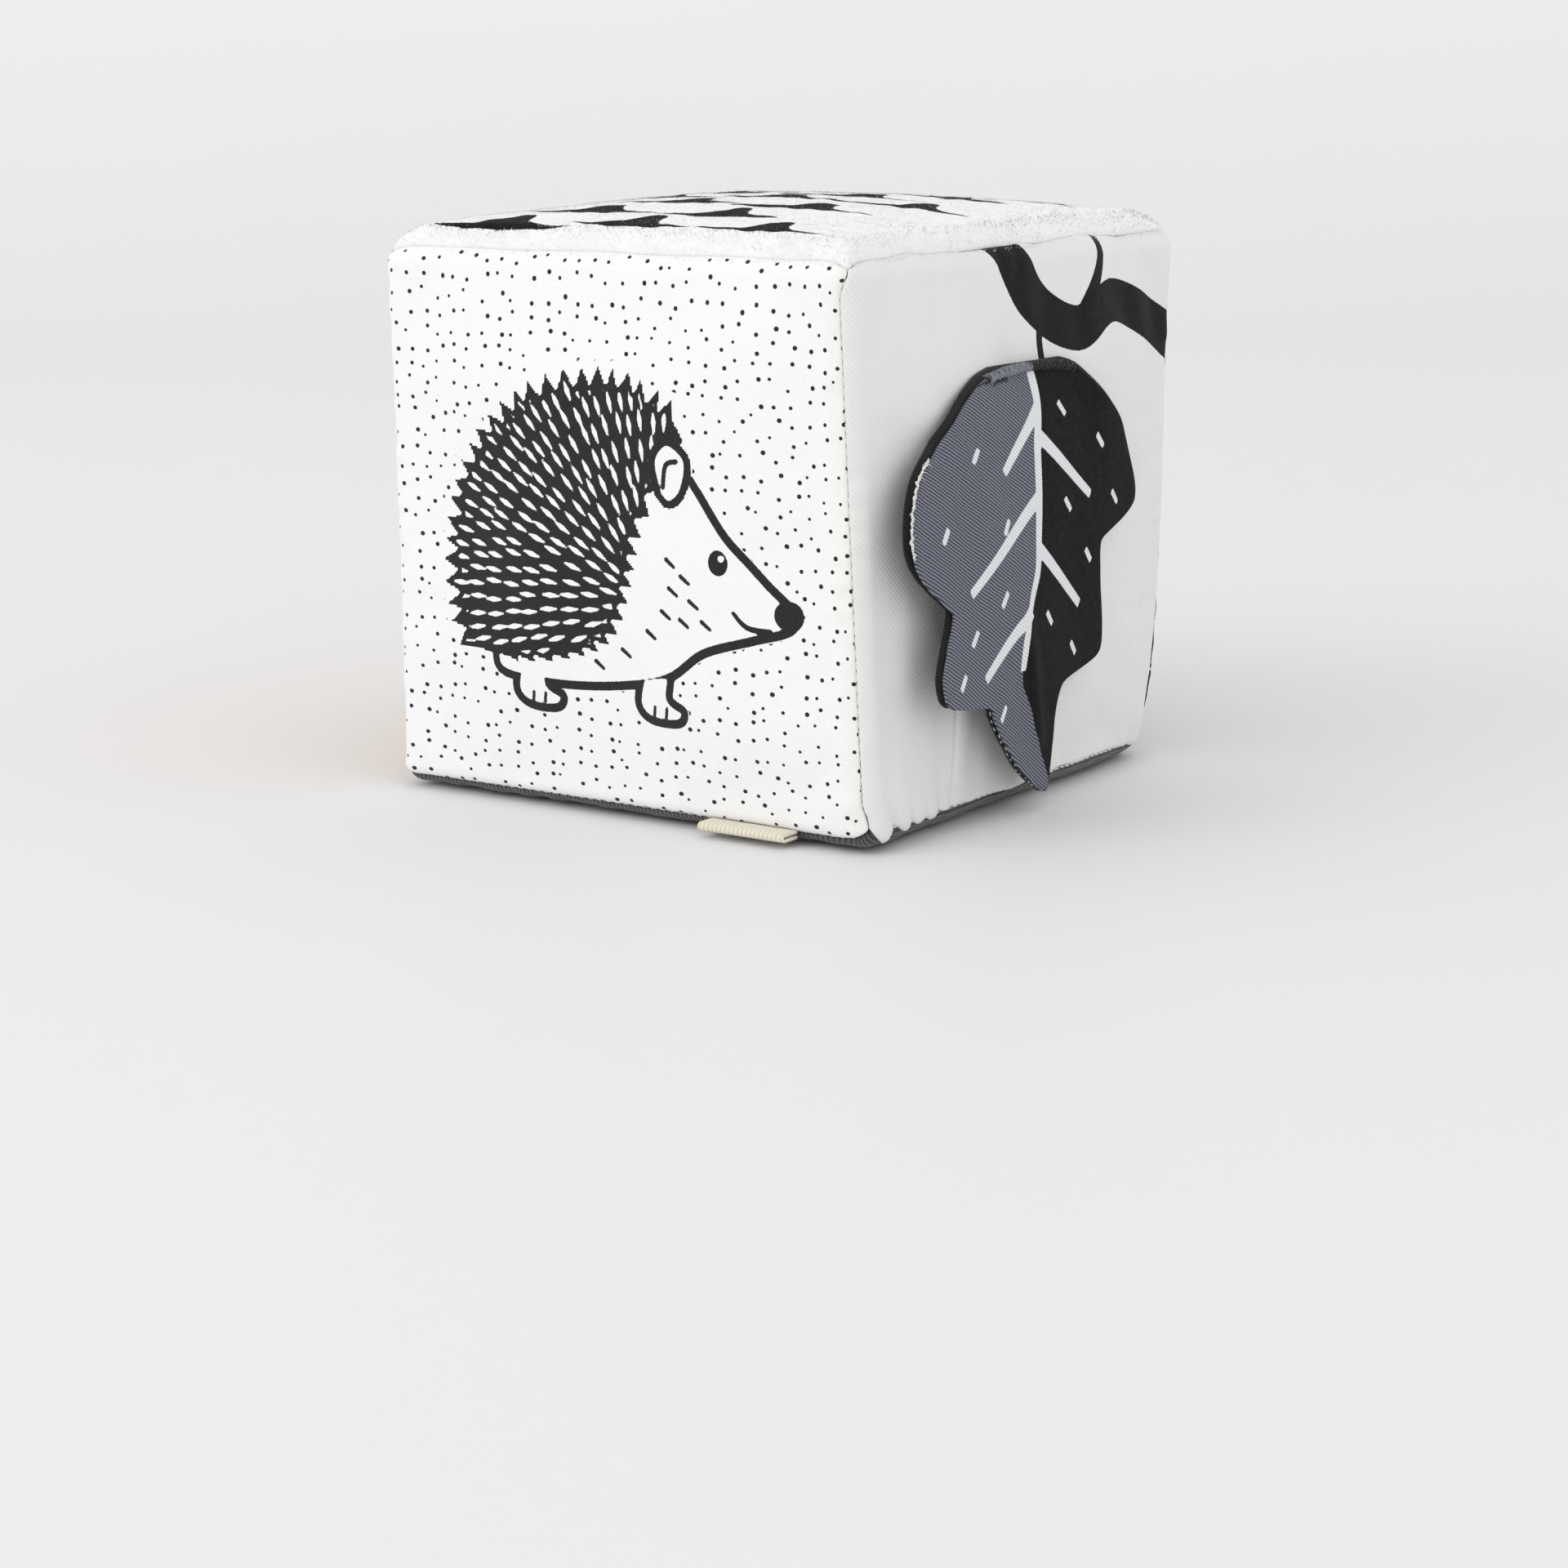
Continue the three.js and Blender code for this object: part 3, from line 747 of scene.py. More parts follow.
def plush_lie(across, up):
    """How far the body of the plush stands out; it rounds down to the seams."""
    from_side = np.clip((cloth_reach[0] - np.abs(across)) / plush_round, 0, 1)
    from_end = np.clip((cloth_reach[1] - np.abs(up)) / plush_round, 0, 1)
    tufts = 0.35 * settled(top_face, across, up) + 0.12 * soft_waves(across, up, 7, 13)
    return (plush_body + tufts) * (1 - (1 - from_side) ** 2) * (1 - (1 - from_end) ** 2)


top = sewn_panel("top_cloth", "top_plush_panel", top_face, 0.5, plush_lie,
                 lambda across, up: {"ink": brush_marks(across, up)})

draw = np.random.default_rng(40)
pile_across = draw.uniform(-1, 1, pile_count) * cloth_reach[0]
pile_up = draw.uniform(-1, 1, pile_count) * cloth_reach[1]
pile_lie = plush_lie(pile_across, pile_up)
tall = pile_height * draw.uniform(0.5, 1.0, pile_count)
lean = 0.4 * soft_waves(pile_across, pile_up, 22, 31) + draw.normal(0, 0.35, pile_count)
lean_up = 0.4 * soft_waves(pile_across, pile_up, 22, 32) + draw.normal(0, 0.35, pile_count)
pile_ink = brush_marks(pile_across, pile_up) + draw.normal(0, 0.3, pile_count)
around = draw.uniform(0, 2 * np.pi, pile_count)


def beside_root(across, up, raised):
    """Places beside the root of each tuft."""
    return on_block(top_face, pile_across + across, pile_up + up, pile_lie + raised)


corners = []
for turn in np.radians([0, 120, 240]):
    foot = pile_foot * np.cos(around + turn), pile_foot * np.sin(around + turn)
    corners.append(beside_root(*foot, -pile_root))
corners.append(beside_root(lean, lean_up, tall))
pile_points = filled_out(np.stack(corners, axis=1).reshape(-1, 3))
sides = np.array([[0, 1, 3], [1, 2, 3], [2, 0, 3]])
pile_facets = (4 * np.arange(pile_count)[:, None, None] + sides).reshape(-1, 3)
tip = np.tile([0.0, 0.0, 0.0, 1.0], pile_count)
own = np.repeat(draw.random(pile_count), 4)
pile = make_piece("top_pile", pile_points, pile_facets,
                  ink=np.repeat(pile_ink, 4), tip=tip, own=own)
up_from_cloth = way_out(top_face, pile_across, pile_up)
up_from_cloth += 0.15 * draw.normal(0, 1, up_from_cloth.shape)
up_from_cloth /= np.linalg.norm(up_from_cloth, axis=1, keepdims=True)
pile.data.normals_split_custom_set_from_vertices(np.repeat(up_from_cloth, 4, axis=0).tolist())

ground = Finish("plush_ground", 0.95, on_cloth=True,
                sheen_weight=0.04, sheen_roughness=0.6, specular_ior_level=0.05)
ground_fleck = ground.noise(1.6, 3)
ground_edge = ground.sum("SUBTRACT", ground.mark("ink"), 0.7)
ground_edge = ground.scaled(ground_fleck, 1.2, ground_edge)
ground_ink = ground.step(ground_edge, -0.1, 0.1, 1.0, 0.0)
ground_white = ground.mix(ground_fleck, "ededee", "f4f4f5")
ground.relief(ground_fleck, 0.08)
ground.colour(ground_ink, ground_white, "0f0f11")
ground.put_on(top)
fluff = Finish("plush_pile", 0.9, sheen_weight=0.04, sheen_roughness=0.55, specular_ior_level=0.05)
tuft_tip, tuft_own = fluff.mark("tip"), fluff.mark("own")
# Each tuft is darker at its root than at its tip: painted shade down in the pile, with a random
# tone per tuft.
tuft_tone = fluff.scaled(tuft_tip, 0.5, fluff.scaled(tuft_own, 0.5))
tuft_ink = fluff.step(fluff.mark("ink"), -0.01, 0.01, 1.0, 0.0)
tuft_ink = fluff.scaled(tuft_ink, fluff.step(tuft_own, 0.955, 0.96, 1.0, 0.0))
tuft_white = fluff.mix(tuft_tone, "f0f0f1", "f7f7f8")
tuft_black = fluff.mix(tuft_tone, "0e0e10", "2a2a2d")
fluff.colour(tuft_ink, tuft_white, tuft_black)
fluff.put_on(pile)

# Seams. Each edge of the cube is a lockstitched seam of cotton-wrapped thread, deep in
# the crease; under the back the machine seams stop at an opening that is closed by hand.
thread_sides = 6
stitch_pitch = 2.6
stitch_radii = 0.2 * np.array([0.5, 0.9, 1, 1, 1, 0.9, 0.5])
stitch_arch = 0.22 * np.sin(np.linspace(0, np.pi, 7))
corner_stop = 3.0
closing_reach = 23.0
ladder_pitch = 3.2


def thread_tube(line, radii, first=(0.0, 0.0, 1.0)):
    """Points and facets of a round thread along a line, closed at both ends."""
    ahead = np.gradient(line, axis=0)
    ahead /= np.linalg.norm(ahead, axis=1, keepdims=True)
    turns = np.arange(thread_sides)[:, None] * 2 * np.pi / thread_sides
    side = np.array(first, float)
    rings = []
    for place, way, radius in zip(line, ahead, np.broadcast_to(radii, len(line))):
        side = side - way * (side @ way)
        side /= np.linalg.norm(side)
        ring = np.cos(turns) * side + np.sin(turns) * np.cross(way, side)
        rings.append(place + radius * ring)
    corner = np.arange(len(line) * thread_sides).reshape(-1, thread_sides)
    beside = np.roll(corner, -1, axis=1)
    walls = np.stack([corner[:-1], beside[:-1], beside[1:], corner[1:]], axis=-1).reshape(-1, 4)
    end = np.array([[0, 1, 2, 3], [0, 3, 4, 5]])
    facets = np.concatenate([walls, corner[0][end[:, ::-1]], corner[-1][end]])
    return np.concatenate(rings), facets


def joined(parts):
    """Several parts as one list of points and one of facets."""
    firsts = np.cumsum([0, *[len(points) for points, _ in parts[:-1]]])
    return (np.concatenate([points for points, _ in parts]),
            np.concatenate([facets + first for (_, facets), first in zip(parts, firsts)]))


def seam_line(face, axis, side, lengths, raised):
    """Places along one seam of a face, at lengths along it from its middle."""
    edge = np.full(len(lengths), side * cloth_reach[axis])
    across, up = (edge, lengths) if axis == face[2] else (lengths, edge)
    shift_across, shift_up = seam_shift(face, across, up)
    return filled_out(on_block(face, across + shift_across, up + shift_up, raised))


pale_thread = Finish("pale_seam_thread", 0.7, sheen_weight=0.2, specular_ior_level=0.3)
dark_thread = Finish("dark_seam_thread", 0.7, sheen_weight=0.2, specular_ior_level=0.3)
threads = {"pale_thread": pale_thread, "dark_thread": dark_thread}


def machine_seam(node, face, axis, side, start, end, slot):
    """The stitches of one seam of a face, from one length along it to another."""
    parts = []
    for k in range(round((end - start) / stitch_pitch)):
        lengths = start + (k + np.linspace(0.1, 0.9, 7)) * stitch_pitch
        line = seam_line(face, axis, side, lengths, stitch_arch - 0.8)
        parts.append(thread_tube(line, stitch_radii, first=(0.4, 0.5, 0.76)))
    piece = make_piece(node + "_stitches", *joined(parts))
    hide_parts(node)
    threads[slot].put_on(piece)


for finish, low, high in ((pale_thread, "cfcdc8", "f0eeea"), (dark_thread, "101012", "38383b")):
    twist = finish.twist(900.0, 2.0)
    finish.relief(twist, 0.05)
    finish.wear(300, 0.6, 0.85)
    # Darker in the grooves of the twist: painted shade in the thread.
    finish.colour(twist, low, high)

seam_stop = cloth_reach - corner_stop
seam_sides = {"top": (2, 1), "bottom": (2, -1), "right": (0, 1), "left": (0, -1)}
for panel, face, sides in (
    ("front", front_face, ("top", "bottom", "right", "left")),
    ("right", right_face, ("top", "bottom")),
    ("left", left_face, ("top", "bottom")),
    ("back", back_face, ("top", "right", "left")),
):
    for side in sides:
        axis, end = seam_sides[side]
        stop = seam_stop[face[2] if face[3] == axis else face[3]]
        machine_seam(f"seam_{panel}_{side}", face, axis, end, -stop, stop, "pale_thread")
for side, start, end in (
    ("left", -seam_stop[0], -closing_reach - 0.5),
    ("right", closing_reach + 0.5, seam_stop[0]),
):
    machine_seam(f"seam_back_bottom_{side}", back_face, 2, -1, start, end, "dark_thread")

ladder = []
over = np.linspace(-1, 1, 9)
for k in range(round(2 * closing_reach / ladder_pitch)):
    across = -closing_reach + ladder_pitch / 2 + ladder_pitch * k + 0.9 * over
    up = -cloth_reach[2] + 0.8 * over
    line = filled_out(on_block(back_face, up + hem[(1, 1)], across, 0.1 - 0.5 * over**2))
    ladder.append(thread_tube(line, 0.24 * np.sqrt(1.1 - over**2), first=(0.3, 0.2, 0.9)))
closing = make_piece("closing_stitches", *joined(ladder))
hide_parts("closing_stitch")
dark_thread.put_on(closing)

# Leaf flap. Two plies of twill, cut to one leaf shape and held only by their top edge:
# blue-grey and black with pale printed veins in front, black behind, crinkle film between.
leaf_half_width = 54.5
leaf_length = 98.5
leaf_top = middle + 36.9
leaf_place = -2.5
backing_cut = 1.025
backing_above = 1.3

# The leaf's outline: how far down it, and how far it reaches to the front and to the back
leaf_outline = soft_line([
    [0, 0.3, 0.24], [0.015, 0.43, 0.33], [0.05, 0.56, 0.425], [0.1, 0.7, 0.55],
    [0.15, 0.83, 0.65], [0.2, 0.955, 0.695], [0.25, 1.02, 0.733], [0.3, 1.055, 0.766],
    [0.34, 1.07, 0.772], [0.366, 1.07, 0.744], [0.39, 1.06, 0.655], [0.41, 1.04, 0.535],
    [0.428, 1.015, 0.435], [0.455, 0.96, 0.414], [0.5, 0.85, 0.419], [0.515, 0.825, 0.421],
    [0.55, 0.845, 0.43], [0.6, 0.89, 0.448], [0.65, 0.935, 0.458], [0.69, 0.935, 0.452],
    [0.711, 0.915, 0.41], [0.725, 0.86, 0.3], [0.738, 0.7, 0.155], [0.75, 0.565, 0.085],
    [0.78, 0.53, 0.05], [0.825, 0.47, 0.033], [0.87, 0.39, 0.03], [0.915, 0.305, 0.02],
    [0.955, 0.2, 0.008], [0.985, 0.1, -0.005], [1, 0.055, -0.015],
], 4)


def leaf_stand(down, y):
    """How far the leaf stands off the block: not at its top, and most toward the front."""
    toward_front = (1 - y / leaf_half_width) / 2
    return (1.8 + 6.7 * toward_front) * (1 - (1 - down) ** 4)


def leaf_cut(cut):
    """How high a ply of the leaf is cut, and how much of that is above the leaf's top line."""
    above = backing_above if cut > 1 else 0.0
    return leaf_length * min(cut, 1) + above, above


def leaf_places(cut, raised, rows, columns):
    """A ply of the leaf as a net of points, and each point's place on the flat cut cloth."""
    down = np.linspace(0, 1, rows)
    to_front, to_back = (np.interp(down, leaf_outline[:, 0], leaf_outline[:, k]) * leaf_half_width
                         for k in (1, 2))
    centre, reach = (to_back - to_front) / 2, (to_back + to_front) / 2 * cut
    y = centre[:, None] + reach[:, None] * np.linspace(-1, 1, columns)
    high, above = leaf_cut(cut)
    z = (leaf_top + above - down * high)[:, None] + 0 * y
    share = (leaf_top - z) / leaf_length
    stand = leaf_stand(share, y) + 0.8 * np.sin(share * 5.5) * (y / 40) * share
    ridge = to_stretch(y, z - leaf_top, (-17, -50), (-7, -84))[0]
    stand += 0.9 * np.exp(-((ridge / 3.2) ** 2)) * smooth((share - 0.45) * 6)
    over_folds = np.maximum(right_folds(y + leaf_place, z - middle), 0) * (1 - smooth(share * 3))
    ripple = 0.35 * soft_waves(y, z, 30, 51) * smooth(share * 4) + over_folds
    x = half[0] + 0.4 + stand + ripple + raised
    points = filled_out(np.stack([x, y + leaf_place, z - middle], axis=-1))
    round_off = 0.25 * np.exp(-(reach[:, None] - np.abs(y - centre[:, None])) / 0.4)
    return points, np.stack([y, z - leaf_top, round_off], axis=-1)


def closed_skin(rows, columns):
    """The facets of two nets, an outer and an inner one, that are joined all round their rim."""
    count = rows * columns
    corner = np.arange(count).reshape(rows, columns)
    rim = np.concatenate([corner[0], corner[1:, -1], corner[-1, -2::-1], corner[-2:0:-1, 0]])
    beside = np.roll(rim, -1)
    edge = np.stack([rim, beside, beside + count, rim + count], axis=-1)
    skin = net(rows, columns).reshape(-1, 4)
    return np.concatenate([skin[:, ::-1], skin + count, edge])


def leaf_ply(name, node, cut, raised, thick, pitch, prints=lambda y, down: {}):
    """One ply as a closed skin of its own thickness, with its cut edge."""
    rows, columns = round(leaf_length / pitch), round(2 * leaf_half_width * 0.8 / pitch)
    outer, place = leaf_places(cut, raised + thick, rows, columns)
    inner = leaf_places(cut, raised, rows, columns)[0]
    outer[..., 0] -= place[..., 2]
    points = np.concatenate([outer.reshape(-1, 3), inner.reshape(-1, 3)])
    flat = place.reshape(-1, 3) * [1, 1, 0]
    marks = {mark: np.tile(drawn, 2) for mark, drawn in prints(flat[:, 0], flat[:, 1]).items()}
    piece = make_piece(name, points, closed_skin(rows, columns), body=None,
                       place=np.tile(flat, (2, 1)), **marks)
    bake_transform(piece)
    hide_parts(node)
    return piece


midrib = soft_line([
    (-2.6, 2), (-2.6, -8), (-5, -18), (-5.8, -29), (-7, -37), (-8.6, -45), (-12, -51),
    (-15.3, -58), (-16.4, -68),
], 8)
below_midrib = soft_line([
    (-16, -71), (-11.7, -77.5), (-9, -83.5), (-3.7, -91), (0, -97), (4, -104),
])
dark_from = np.concatenate([midrib, below_midrib])
side_veins = [
    ((-3, -9), (-20, -22)), ((-6, -29), (-38, -47)), ((-13, -54), (-33, -67)),
    ((-4, -15), (18, -31)), ((-8, -40), (12, -56)),
]
front_dashes = [(-31, -17), (-21, -34), (-46, -33), (-37, -57), (-24, -50), (-43, -66), (-25, -76)]
back_dashes = [(8, -10), (24, -19), (7, -32), (30, -33), (16, -45), (-4, -57), (9, -66)]


def square_bar(u, v, start, end, first, last):
    """A straight bar with square ends, `first` and `last` wide at its ends."""
    ahead = np.subtract(end, start) / np.hypot(*np.subtract(end, start))
    side = np.array([-ahead[1], ahead[0]]) / 2
    corners = [start + side * first, end + side * last, end - side * last, start - side * first]
    return drawn_shape(u, v, np.array(corners))


def leaf_print(y, down):
    """Marks for the leaf: the ink of its veins and dashes, and its dark half; both are below 0."""
    veins = [np.maximum(brushed(y, down, midrib, [2.9, 2.8, 2.6, 2.2, 1.9]), -67.5 - down)]
    veins += [square_bar(y, down, start, end, 3.4, 2.3) for start, end in side_veins]
    for dashes, slope in ((front_dashes, 1.6), (back_dashes, -1.6)):
        for dash in np.array(dashes):
            veins.append(square_bar(y, down, dash - [1.3, slope], dash + [1.3, slope], 1.6, 1.5))
    dark_half = np.interp(-down, -dark_from[:, 1], dark_from[:, 0]) - y
    return {"veins": np.minimum.reduce(veins), "half": dark_half}


leaf_back = leaf_ply("leaf_backing", "leaf_back_ply", backing_cut, 0.0, 0.8, 0.8)
leaf_film = leaf_ply("leaf_film", "leaf_crinkle_film", 0.92, 1.0, 0.2, 1.2)
leaf_front = leaf_ply("leaf_front", "leaf_front_ply", 1.0, 1.3, 0.8, 0.55, leaf_print)

backing = Twill("black_backing_twill", 0.75, 45, "0c0c0e", "232326")
backing.colour(backing.cloth)
backing.put_on(leaf_back)
film = Finish("crinkle_film", 0.25, on_cloth=True, specular_ior_level=0.6, transmission_weight=0.35)
folds = {"Vector": film.place, "Scale": 0.22}
crinkle = film.node("TexVoronoi", folds, feature="DISTANCE_TO_EDGE")[0]
film.relief(crinkle, 0.6)
film.wear(0.4, 0.15, 0.4)
# Darker along the creases: painted shade in the folds of the film.
film.colour(crinkle, "aab2b8", "dfe4e8")
film.put_on(leaf_film)
leaf_finish = Twill("blue_grey_leaf_twill", 0.76, 59, "171a27", "8d909d",
                    depth=0.12, bloom=0.02, sway=14.0, sway_scale=0.07)
dark_half = leaf_finish.step(leaf_finish.mark("half"), -0.1, 0.1, 1.0, 0.0)
# The black half and the pale veins are also darker down between the wales: painted shade in the
# weave.
dark_cloth = leaf_finish.mix(leaf_finish.wale, "060607", "0c0c0d")
leaf_cloth = leaf_finish.mix(dark_half, leaf_finish.cloth, dark_cloth)
vein_cloth = leaf_finish.mix(leaf_finish.wale, "d3d5da", "eceef0")
leaf_finish.colour(leaf_finish.printed("veins"), leaf_cloth, vein_cloth)
leaf_finish.put_on(leaf_front)

# Edge of the leaf. Its plies are overcast together with pale thread along the edge that stands
# off the block, and the front ply's cut edge is frayed white for a stretch above its notch.
rim_rows = 700
overcast_from = 0.76
overcast_pitch = 2.4
frayed_from, frayed_to = 0.17, 0.38
edge_side = (0.9, 0.1, 0.2)
rim = leaf_places(backing_cut, 1.1, rim_rows, 3)[0][:, 0]
rim_lengths = np.concatenate([[0], np.cumsum(np.linalg.norm(np.diff(rim, axis=0), axis=1))])
draw = np.random.default_rng(77)


def down_rim(share):
    return rim_lengths[int(share * rim_rows)]


def on_rim(lengths):
    return np.stack([np.interp(lengths, rim_lengths, rim[:, axis]) for axis in range(3)], axis=-1)


edge_threads = []
for start in np.arange(down_rim(overcast_from), rim_lengths[-1] - 2, overcast_pitch):
    line = on_rim(start + np.linspace(0, draw.uniform(0.5, 1.2), 5))
    line += [draw.uniform(-0.4, 0.4), -0.06, 0]
    line[:, 1] -= 0.12 * np.sin(np.linspace(0, np.pi, 5))
    edge_threads.append(thread_tube(line, draw.uniform(0.08, 0.14), first=edge_side))
frayed = np.arange(down_rim(frayed_from), down_rim(frayed_to), 0.35)
line = on_rim(frayed) + draw.normal(0, 0.13, (len(frayed), 3)) + [1.15, 0.5, 0]
fray = np.clip(draw.normal(0.3, 0.09, len(frayed)), 0.12, 0.5)
edge_threads.append(thread_tube(line, fray, first=edge_side))
for start in draw.choice(frayed, 26):
    away = np.outer(np.linspace(0, 1, 4), draw.normal(0, 0.55, 3))
    whisker = on_rim(np.array([start])) + [1.1, 0.4, 0] + away
    edge_threads.append(thread_tube(whisker, [0.09, 0.08, 0.06, 0.03], first=edge_side))
edging = make_piece("leaf_edge_stitches", *joined(edge_threads), body="leaf")
pale_thread.put_on(edging)

# Bar of whipped stitches. A strand of thread wound over the leaf's top edge and the
# panel, about thirty turns side by side; it holds the leaf and is what the leaf lifts about.
bar_low, bar_high = (np.array(corner) * 1000 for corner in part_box("leaf_stitch_bar"))
bar_middle = (bar_low + bar_high) / 2
bar_turns = 29
bar_thread = 0.42
bar_out = bar_middle[0] + 1.0
turn = np.linspace(0, 2 * np.pi * bar_turns, bar_turns * 14)
bar_y = np.interp(turn, [0, turn[-1]], [bar_low[1] + 0.4, bar_high[1] - 0.4])
bar_droop = -1.9 * ((bar_y + 4) / 20) ** 2
loose = 1 + 0.12 * soft_waves(bar_y, 0, 3.5, 88)
wound = np.stack([
    bar_out + 1.5 * loose * np.cos(turn),
    bar_y + 0.4 * np.sin(turn),
    bar_middle[2] - 0.2 + bar_droop + 0.8 * loose * np.sin(turn),
], axis=-1)
bar_threads = [thread_tube(wound, bar_thread, first=(0, 1, 0))]
# Black thread ends that lie out in the slit under the bar's front end: partly real loose ends,
# partly a dark stand-in for the slit's shadow, which is painted shade.
for _ in range(18):
    root_y = bar_low[1] + draw.uniform(-0.5, 9)
    root = np.array([bar_out + 1.2, root_y, bar_middle[2] - 1.9 + draw.uniform(-0.5, 0.2)])
    reach = [draw.uniform(-0.2, 0.6), draw.uniform(-5.2, 0.5), draw.uniform(-2.0, 0.3)]
    loose_end = root + np.outer(np.linspace(0, 1, 5) ** 1.3, reach)
    bar_threads.append(thread_tube(loose_end, [0.24, 0.23, 0.2, 0.16, 0.09], first=(1, 0, 0.3)))
bar_points, bar_facets = joined(bar_threads)
loose_end_mark = np.arange(len(bar_points)) >= len(bar_threads[0][0])
bar = make_piece("leaf_whip_stitches", bar_points, bar_facets, loose_end=loose_end_mark)
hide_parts("leaf_stitch_bar")
whip = Finish("grey_whip_thread", 0.75, sheen_weight=0.2, specular_ior_level=0.3)
bar_twist = whip.twist(700.0, 1.0)
whip.relief(bar_twist, 0.06)
whip.wear(400, 0.65, 0.85)
along_bar = whip.node("SeparateXYZ", {0: whip.place})[1]
grey_from = whip.step(along_bar, -0.0230, -0.0226)
grey_part = whip.scaled(grey_from, whip.step(along_bar, -0.0045, -0.0055))
black_part = whip.sum("SUBTRACT", 1.0, grey_part)
# The loose ends are black, partly as painted shade for the slit under the bar.
black_part = whip.sum("MAXIMUM", black_part, whip.mark("loose_end"))
# Both the grey and the black thread are darker in the grooves of the twist: painted shade.
bar_grey = whip.mix(bar_twist, "5a5f6c", "9699a3")
bar_black = whip.mix(bar_twist, "0e0e10", "232325")
whip.colour(black_part, bar_grey, bar_black)
whip.put_on(bar)

# Tape tab. Ribbed cotton tape, folded once, its two ends caught in the lower front seam; it
# stands out by its own stiffness and flips up about its root.
tab_low, tab_high = (np.array(corner) * 1000 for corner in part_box("tape_tab"))
tape_thick = 0.75
tape_inside = 1.0
tape_lines = 141
tape_rib_pitch = 1.18
tape_rib_height = 0.035
tab_middle = (tab_low[2] + tab_high[2]) / 2
fold_radius = (tab_high[2] - tab_low[2]) / 2
fold_y = tab_low[1] + fold_radius
tab_root = tab_high[1] + tape_inside
bend = np.linspace(np.pi / 2, 1.5 * np.pi, 15)
straight = np.linspace(tab_root, fold_y, 10)[:-1]
section = np.concatenate([
    np.stack([straight, tab_middle + fold_radius + 0 * straight], -1),
    np.stack([fold_y + fold_radius * np.cos(bend), tab_middle + fold_radius * np.sin(bend)], -1),
    np.stack([straight[::-1], tab_middle - fold_radius + 0 * straight], -1),
])
inward = np.concatenate([
    np.stack([0 * straight, -1 + 0 * straight], -1),
    np.stack([-np.cos(bend), -np.sin(bend)], -1),
    np.stack([0 * straight, 1 + 0 * straight], -1),
])
tape_x = np.linspace(tab_low[0], tab_high[0], tape_lines)
tape_ribs = tape_rib_height * (1 - np.cos((tape_x - tape_x[0]) * 2 * np.pi / tape_rib_pitch))


def tape_side(depth):
    """Points on one side of the tape, by lines along it."""
    spots = section + inward * (depth + tape_ribs[:, None, None])
    lines = np.broadcast_to(tape_x[:, None, None], (*spots.shape[:2], 1))
    return np.concatenate([lines, spots], axis=-1).reshape(-1, 3)


tape_points = np.concatenate([tape_side(0.0), tape_side(tape_thick)])
tab = make_piece("tape_tab_folded", tape_points, closed_skin(tape_lines, len(section)), body="tab")
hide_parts("tape_tab")
tape = Finish("cream_cotton_tape", 0.85, sheen_weight=0.2, specular_ior_level=0.25)
tape_along = tape.sum("SUBTRACT", tape.node("SeparateXYZ", {0: tape.place})[0], tab_low[0] / 1000)
tape_rib = tape.sum("COSINE", tape.scaled(tape_along, 2000 * np.pi / tape_rib_pitch))
tape_rib = tape.step(tape_rib, -1, 1)
tape_fleck = tape.noise(1500, 3)
tape.relief(tape.sum("ADD", tape_rib, tape_fleck), 0.08)
tape.wear(400, 0.75, 0.92)
# Lighter on the ribs and darker between them: painted shade in the tape's ribs, with a random
# fleck.
tape_tone = tape.scaled(tape_rib, 0.6, tape.scaled(tape_fleck, 0.4))
tape.colour(tape_tone, "c9c1aa", "f2ecdc")
tape.put_on(tab)

# Foam core. Two halves of cut foam, glued round the pocket that holds the rattle; each is
# a firm pad that fills the cover.
foam_grain = 2.2
foam_inset = 1.6
foam = Finish("cut_foam", 0.95, sheen_weight=0.1, specular_ior_level=0.15, subsurface_weight=0.1)
foam_cell = foam.node("TexVoronoi", {"Vector": foam.place, "Scale": 900.0})["Distance"]
foam.relief(foam_cell, 0.5)
foam.wear(90, 0.85, 0.98)
foam.colour(foam_cell, "efe7cc", "cfc6a6")
for node in foam_halves:
    pad = bpy.data.objects.new(node.replace("core", "pad"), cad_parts[node].data.copy())
    bpy.context.scene.collection.objects.link(pad)
    remesh = pad.modifiers.new("cut", "REMESH")
    remesh.mode = "VOXEL"
    remesh.voxel_size = foam_grain / 1000
    depsgraph = bpy.context.evaluated_depsgraph_get()
    mesh = bpy.data.meshes.new_from_object(pad.evaluated_get(depsgraph))
    pad.modifiers.clear()
    pad.data = mesh
    co = np.empty(3 * len(mesh.vertices), np.float32)
    mesh.vertices.foreach_get("co", co)
    co = co.reshape(-1, 3) * 1000 - [0, 0, middle]
    share = np.clip(co / half, -1, 1)
    inset = foam_inset * np.sign(share) * smooth((np.abs(share) - 0.6) / 0.4)
    mesh.vertices.foreach_set("co", ((co + [0, 0, middle] + leaned(share) - inset) / 1000).ravel())
    mesh.shade_smooth()
    mesh.materials.clear()
    foam.put_on(pad)
    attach(pad, "block")
    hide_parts(node)

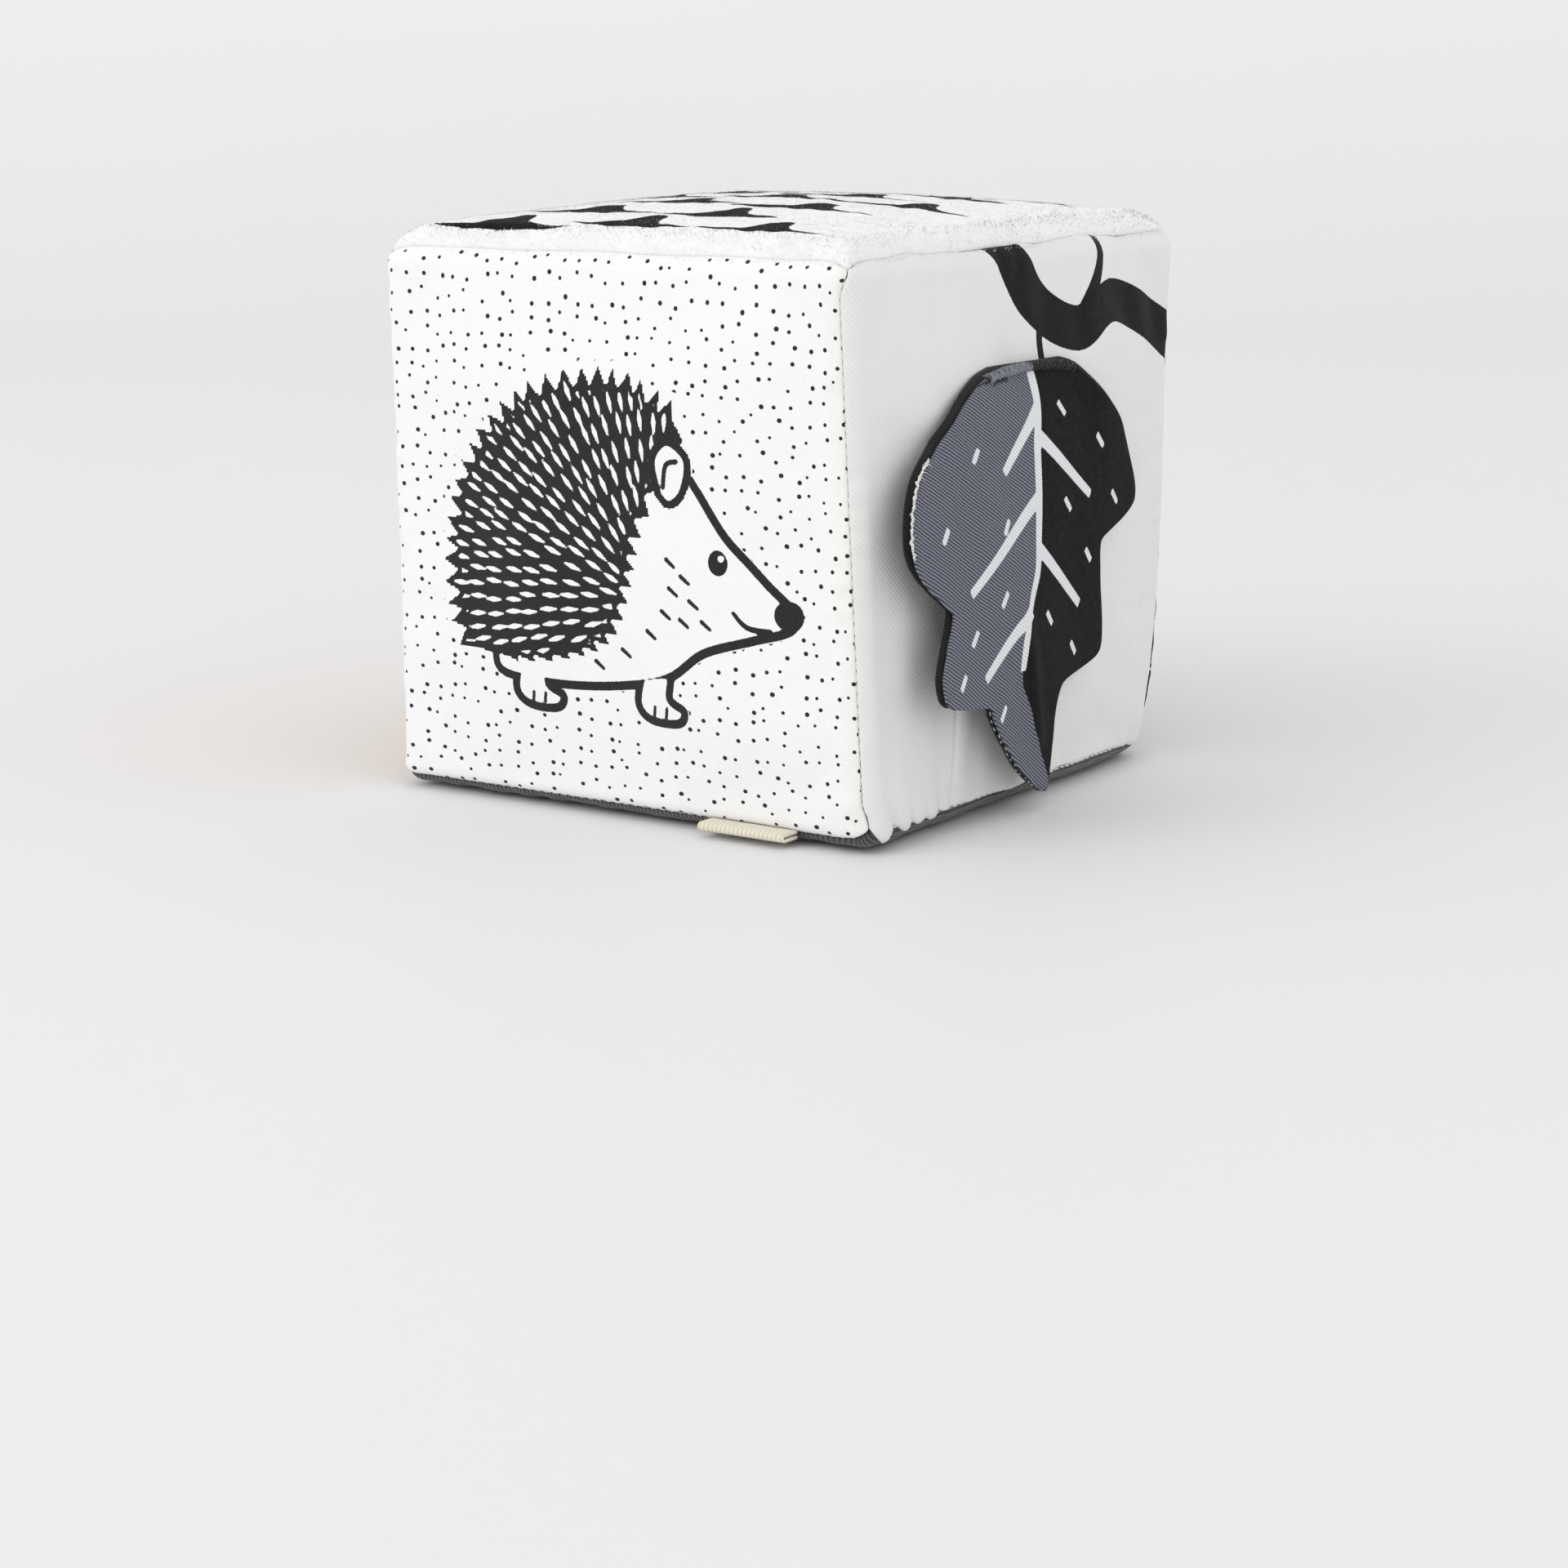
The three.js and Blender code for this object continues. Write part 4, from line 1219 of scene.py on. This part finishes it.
# Rattle. A moulded capsule of two parts that click together, with one steel ball in it; the
# part's own solids are shown, so they only get their plastic and their steel.
capsule = Finish("capsule_plastic", 0.35, coat_weight=0.1, coat_roughness=0.3)
capsule.relief(capsule.noise(900, 4), 0.03)
capsule.wear(120, 0.28, 0.45)
capsule.colour(capsule.noise(60, 3), "d4dde2", "e6edf0")
steel = Finish("ball_steel", 0.25, metallic=1.0)
scratches = steel.noise(700.0, 6.0, uneven=3.0)
steel.relief(scratches, 0.02)
steel.wear(500, 0.18, 0.38)
steel.colour(scratches, "9c9ea1", "c9cbce")
for node, finish in (("rattle_cup", capsule), ("rattle_lid", capsule), ("rattle_ball", steel)):
    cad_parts[node].data.materials.clear()
    finish.put_on(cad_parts[node])

# Floor and wall. A pale table that runs up behind the block in one soft sweep, a broad
# soft lamp from the front left, and an even pale room.
table_near, table_far, sweep_radius, wall_top, table_side = -3000, 1200, 900, 4500, 4000.0
sweep_way = -np.array(camera_back[:2]) / np.linalg.norm(camera_back[:2])
sweep_side = np.array([-sweep_way[1], sweep_way[0]])
curve = np.linspace(0, np.pi / 2, 16)[1:]
swept = table_far + sweep_radius * np.sin(curve)
run = np.concatenate([[table_near, table_far], swept, [table_far + sweep_radius]])
rise = np.concatenate([[0, 0], sweep_radius * (1 - np.cos(curve)), [wall_top]])
reach = np.array([-table_side, table_side])
sweep = run[:, None, None] * sweep_way + reach[None, :, None] * sweep_side
sweep_z = np.broadcast_to(rise[:, None, None], (len(rise), 2, 1))
sweep = np.concatenate([sweep, sweep_z], axis=-1).reshape(-1, 3)
floor = make_piece("floor", sweep, net(len(run), 2).reshape(-1, 4)[:, ::-1], body=None)
paint = Finish("pale_paint", 0.6, specular_ior_level=0.2)
paint_height = paint.step(paint.node("SeparateXYZ", {0: paint.place})[2], 0.0, 0.7)
floor_paint = paint.mix(paint.noise(2.0), "e3e3e4", "e6e6e7")
paint.colour(paint_height, floor_paint, "fffcf8")
paint.put_on(floor)

world = bpy.data.worlds.new("room")
world.use_nodes = True
room_light = world.node_tree.nodes["Background"].inputs
room_light["Color"].default_value = (1.0, 0.998, 0.997, 1)
room_light["Strength"].default_value = 0.98
bpy.context.scene.world = world


def soft_lamp(name, place, size, watts):
    """A square lamp that looks at the middle of the block."""
    light = bpy.data.lights.new(name, "AREA")
    light.size = size
    light.energy = watts
    lamp = bpy.data.objects.new(name, light)
    lamp.location = place
    lamp.rotation_mode = "QUATERNION"
    lamp.rotation_quaternion = (Vector((0, 0, 0.065)) - lamp.location).to_track_quat("-Z", "Y")
    bpy.context.scene.collection.objects.link(lamp)


soft_lamp("window_light", (-0.9, -1.75, 1.1), 1.4, 9.5)
soft_lamp("room_bounce", (1.9, -0.7, 0.8), 1.6, 2.0)
bpy.context.scene.view_settings.view_transform = "Standard"
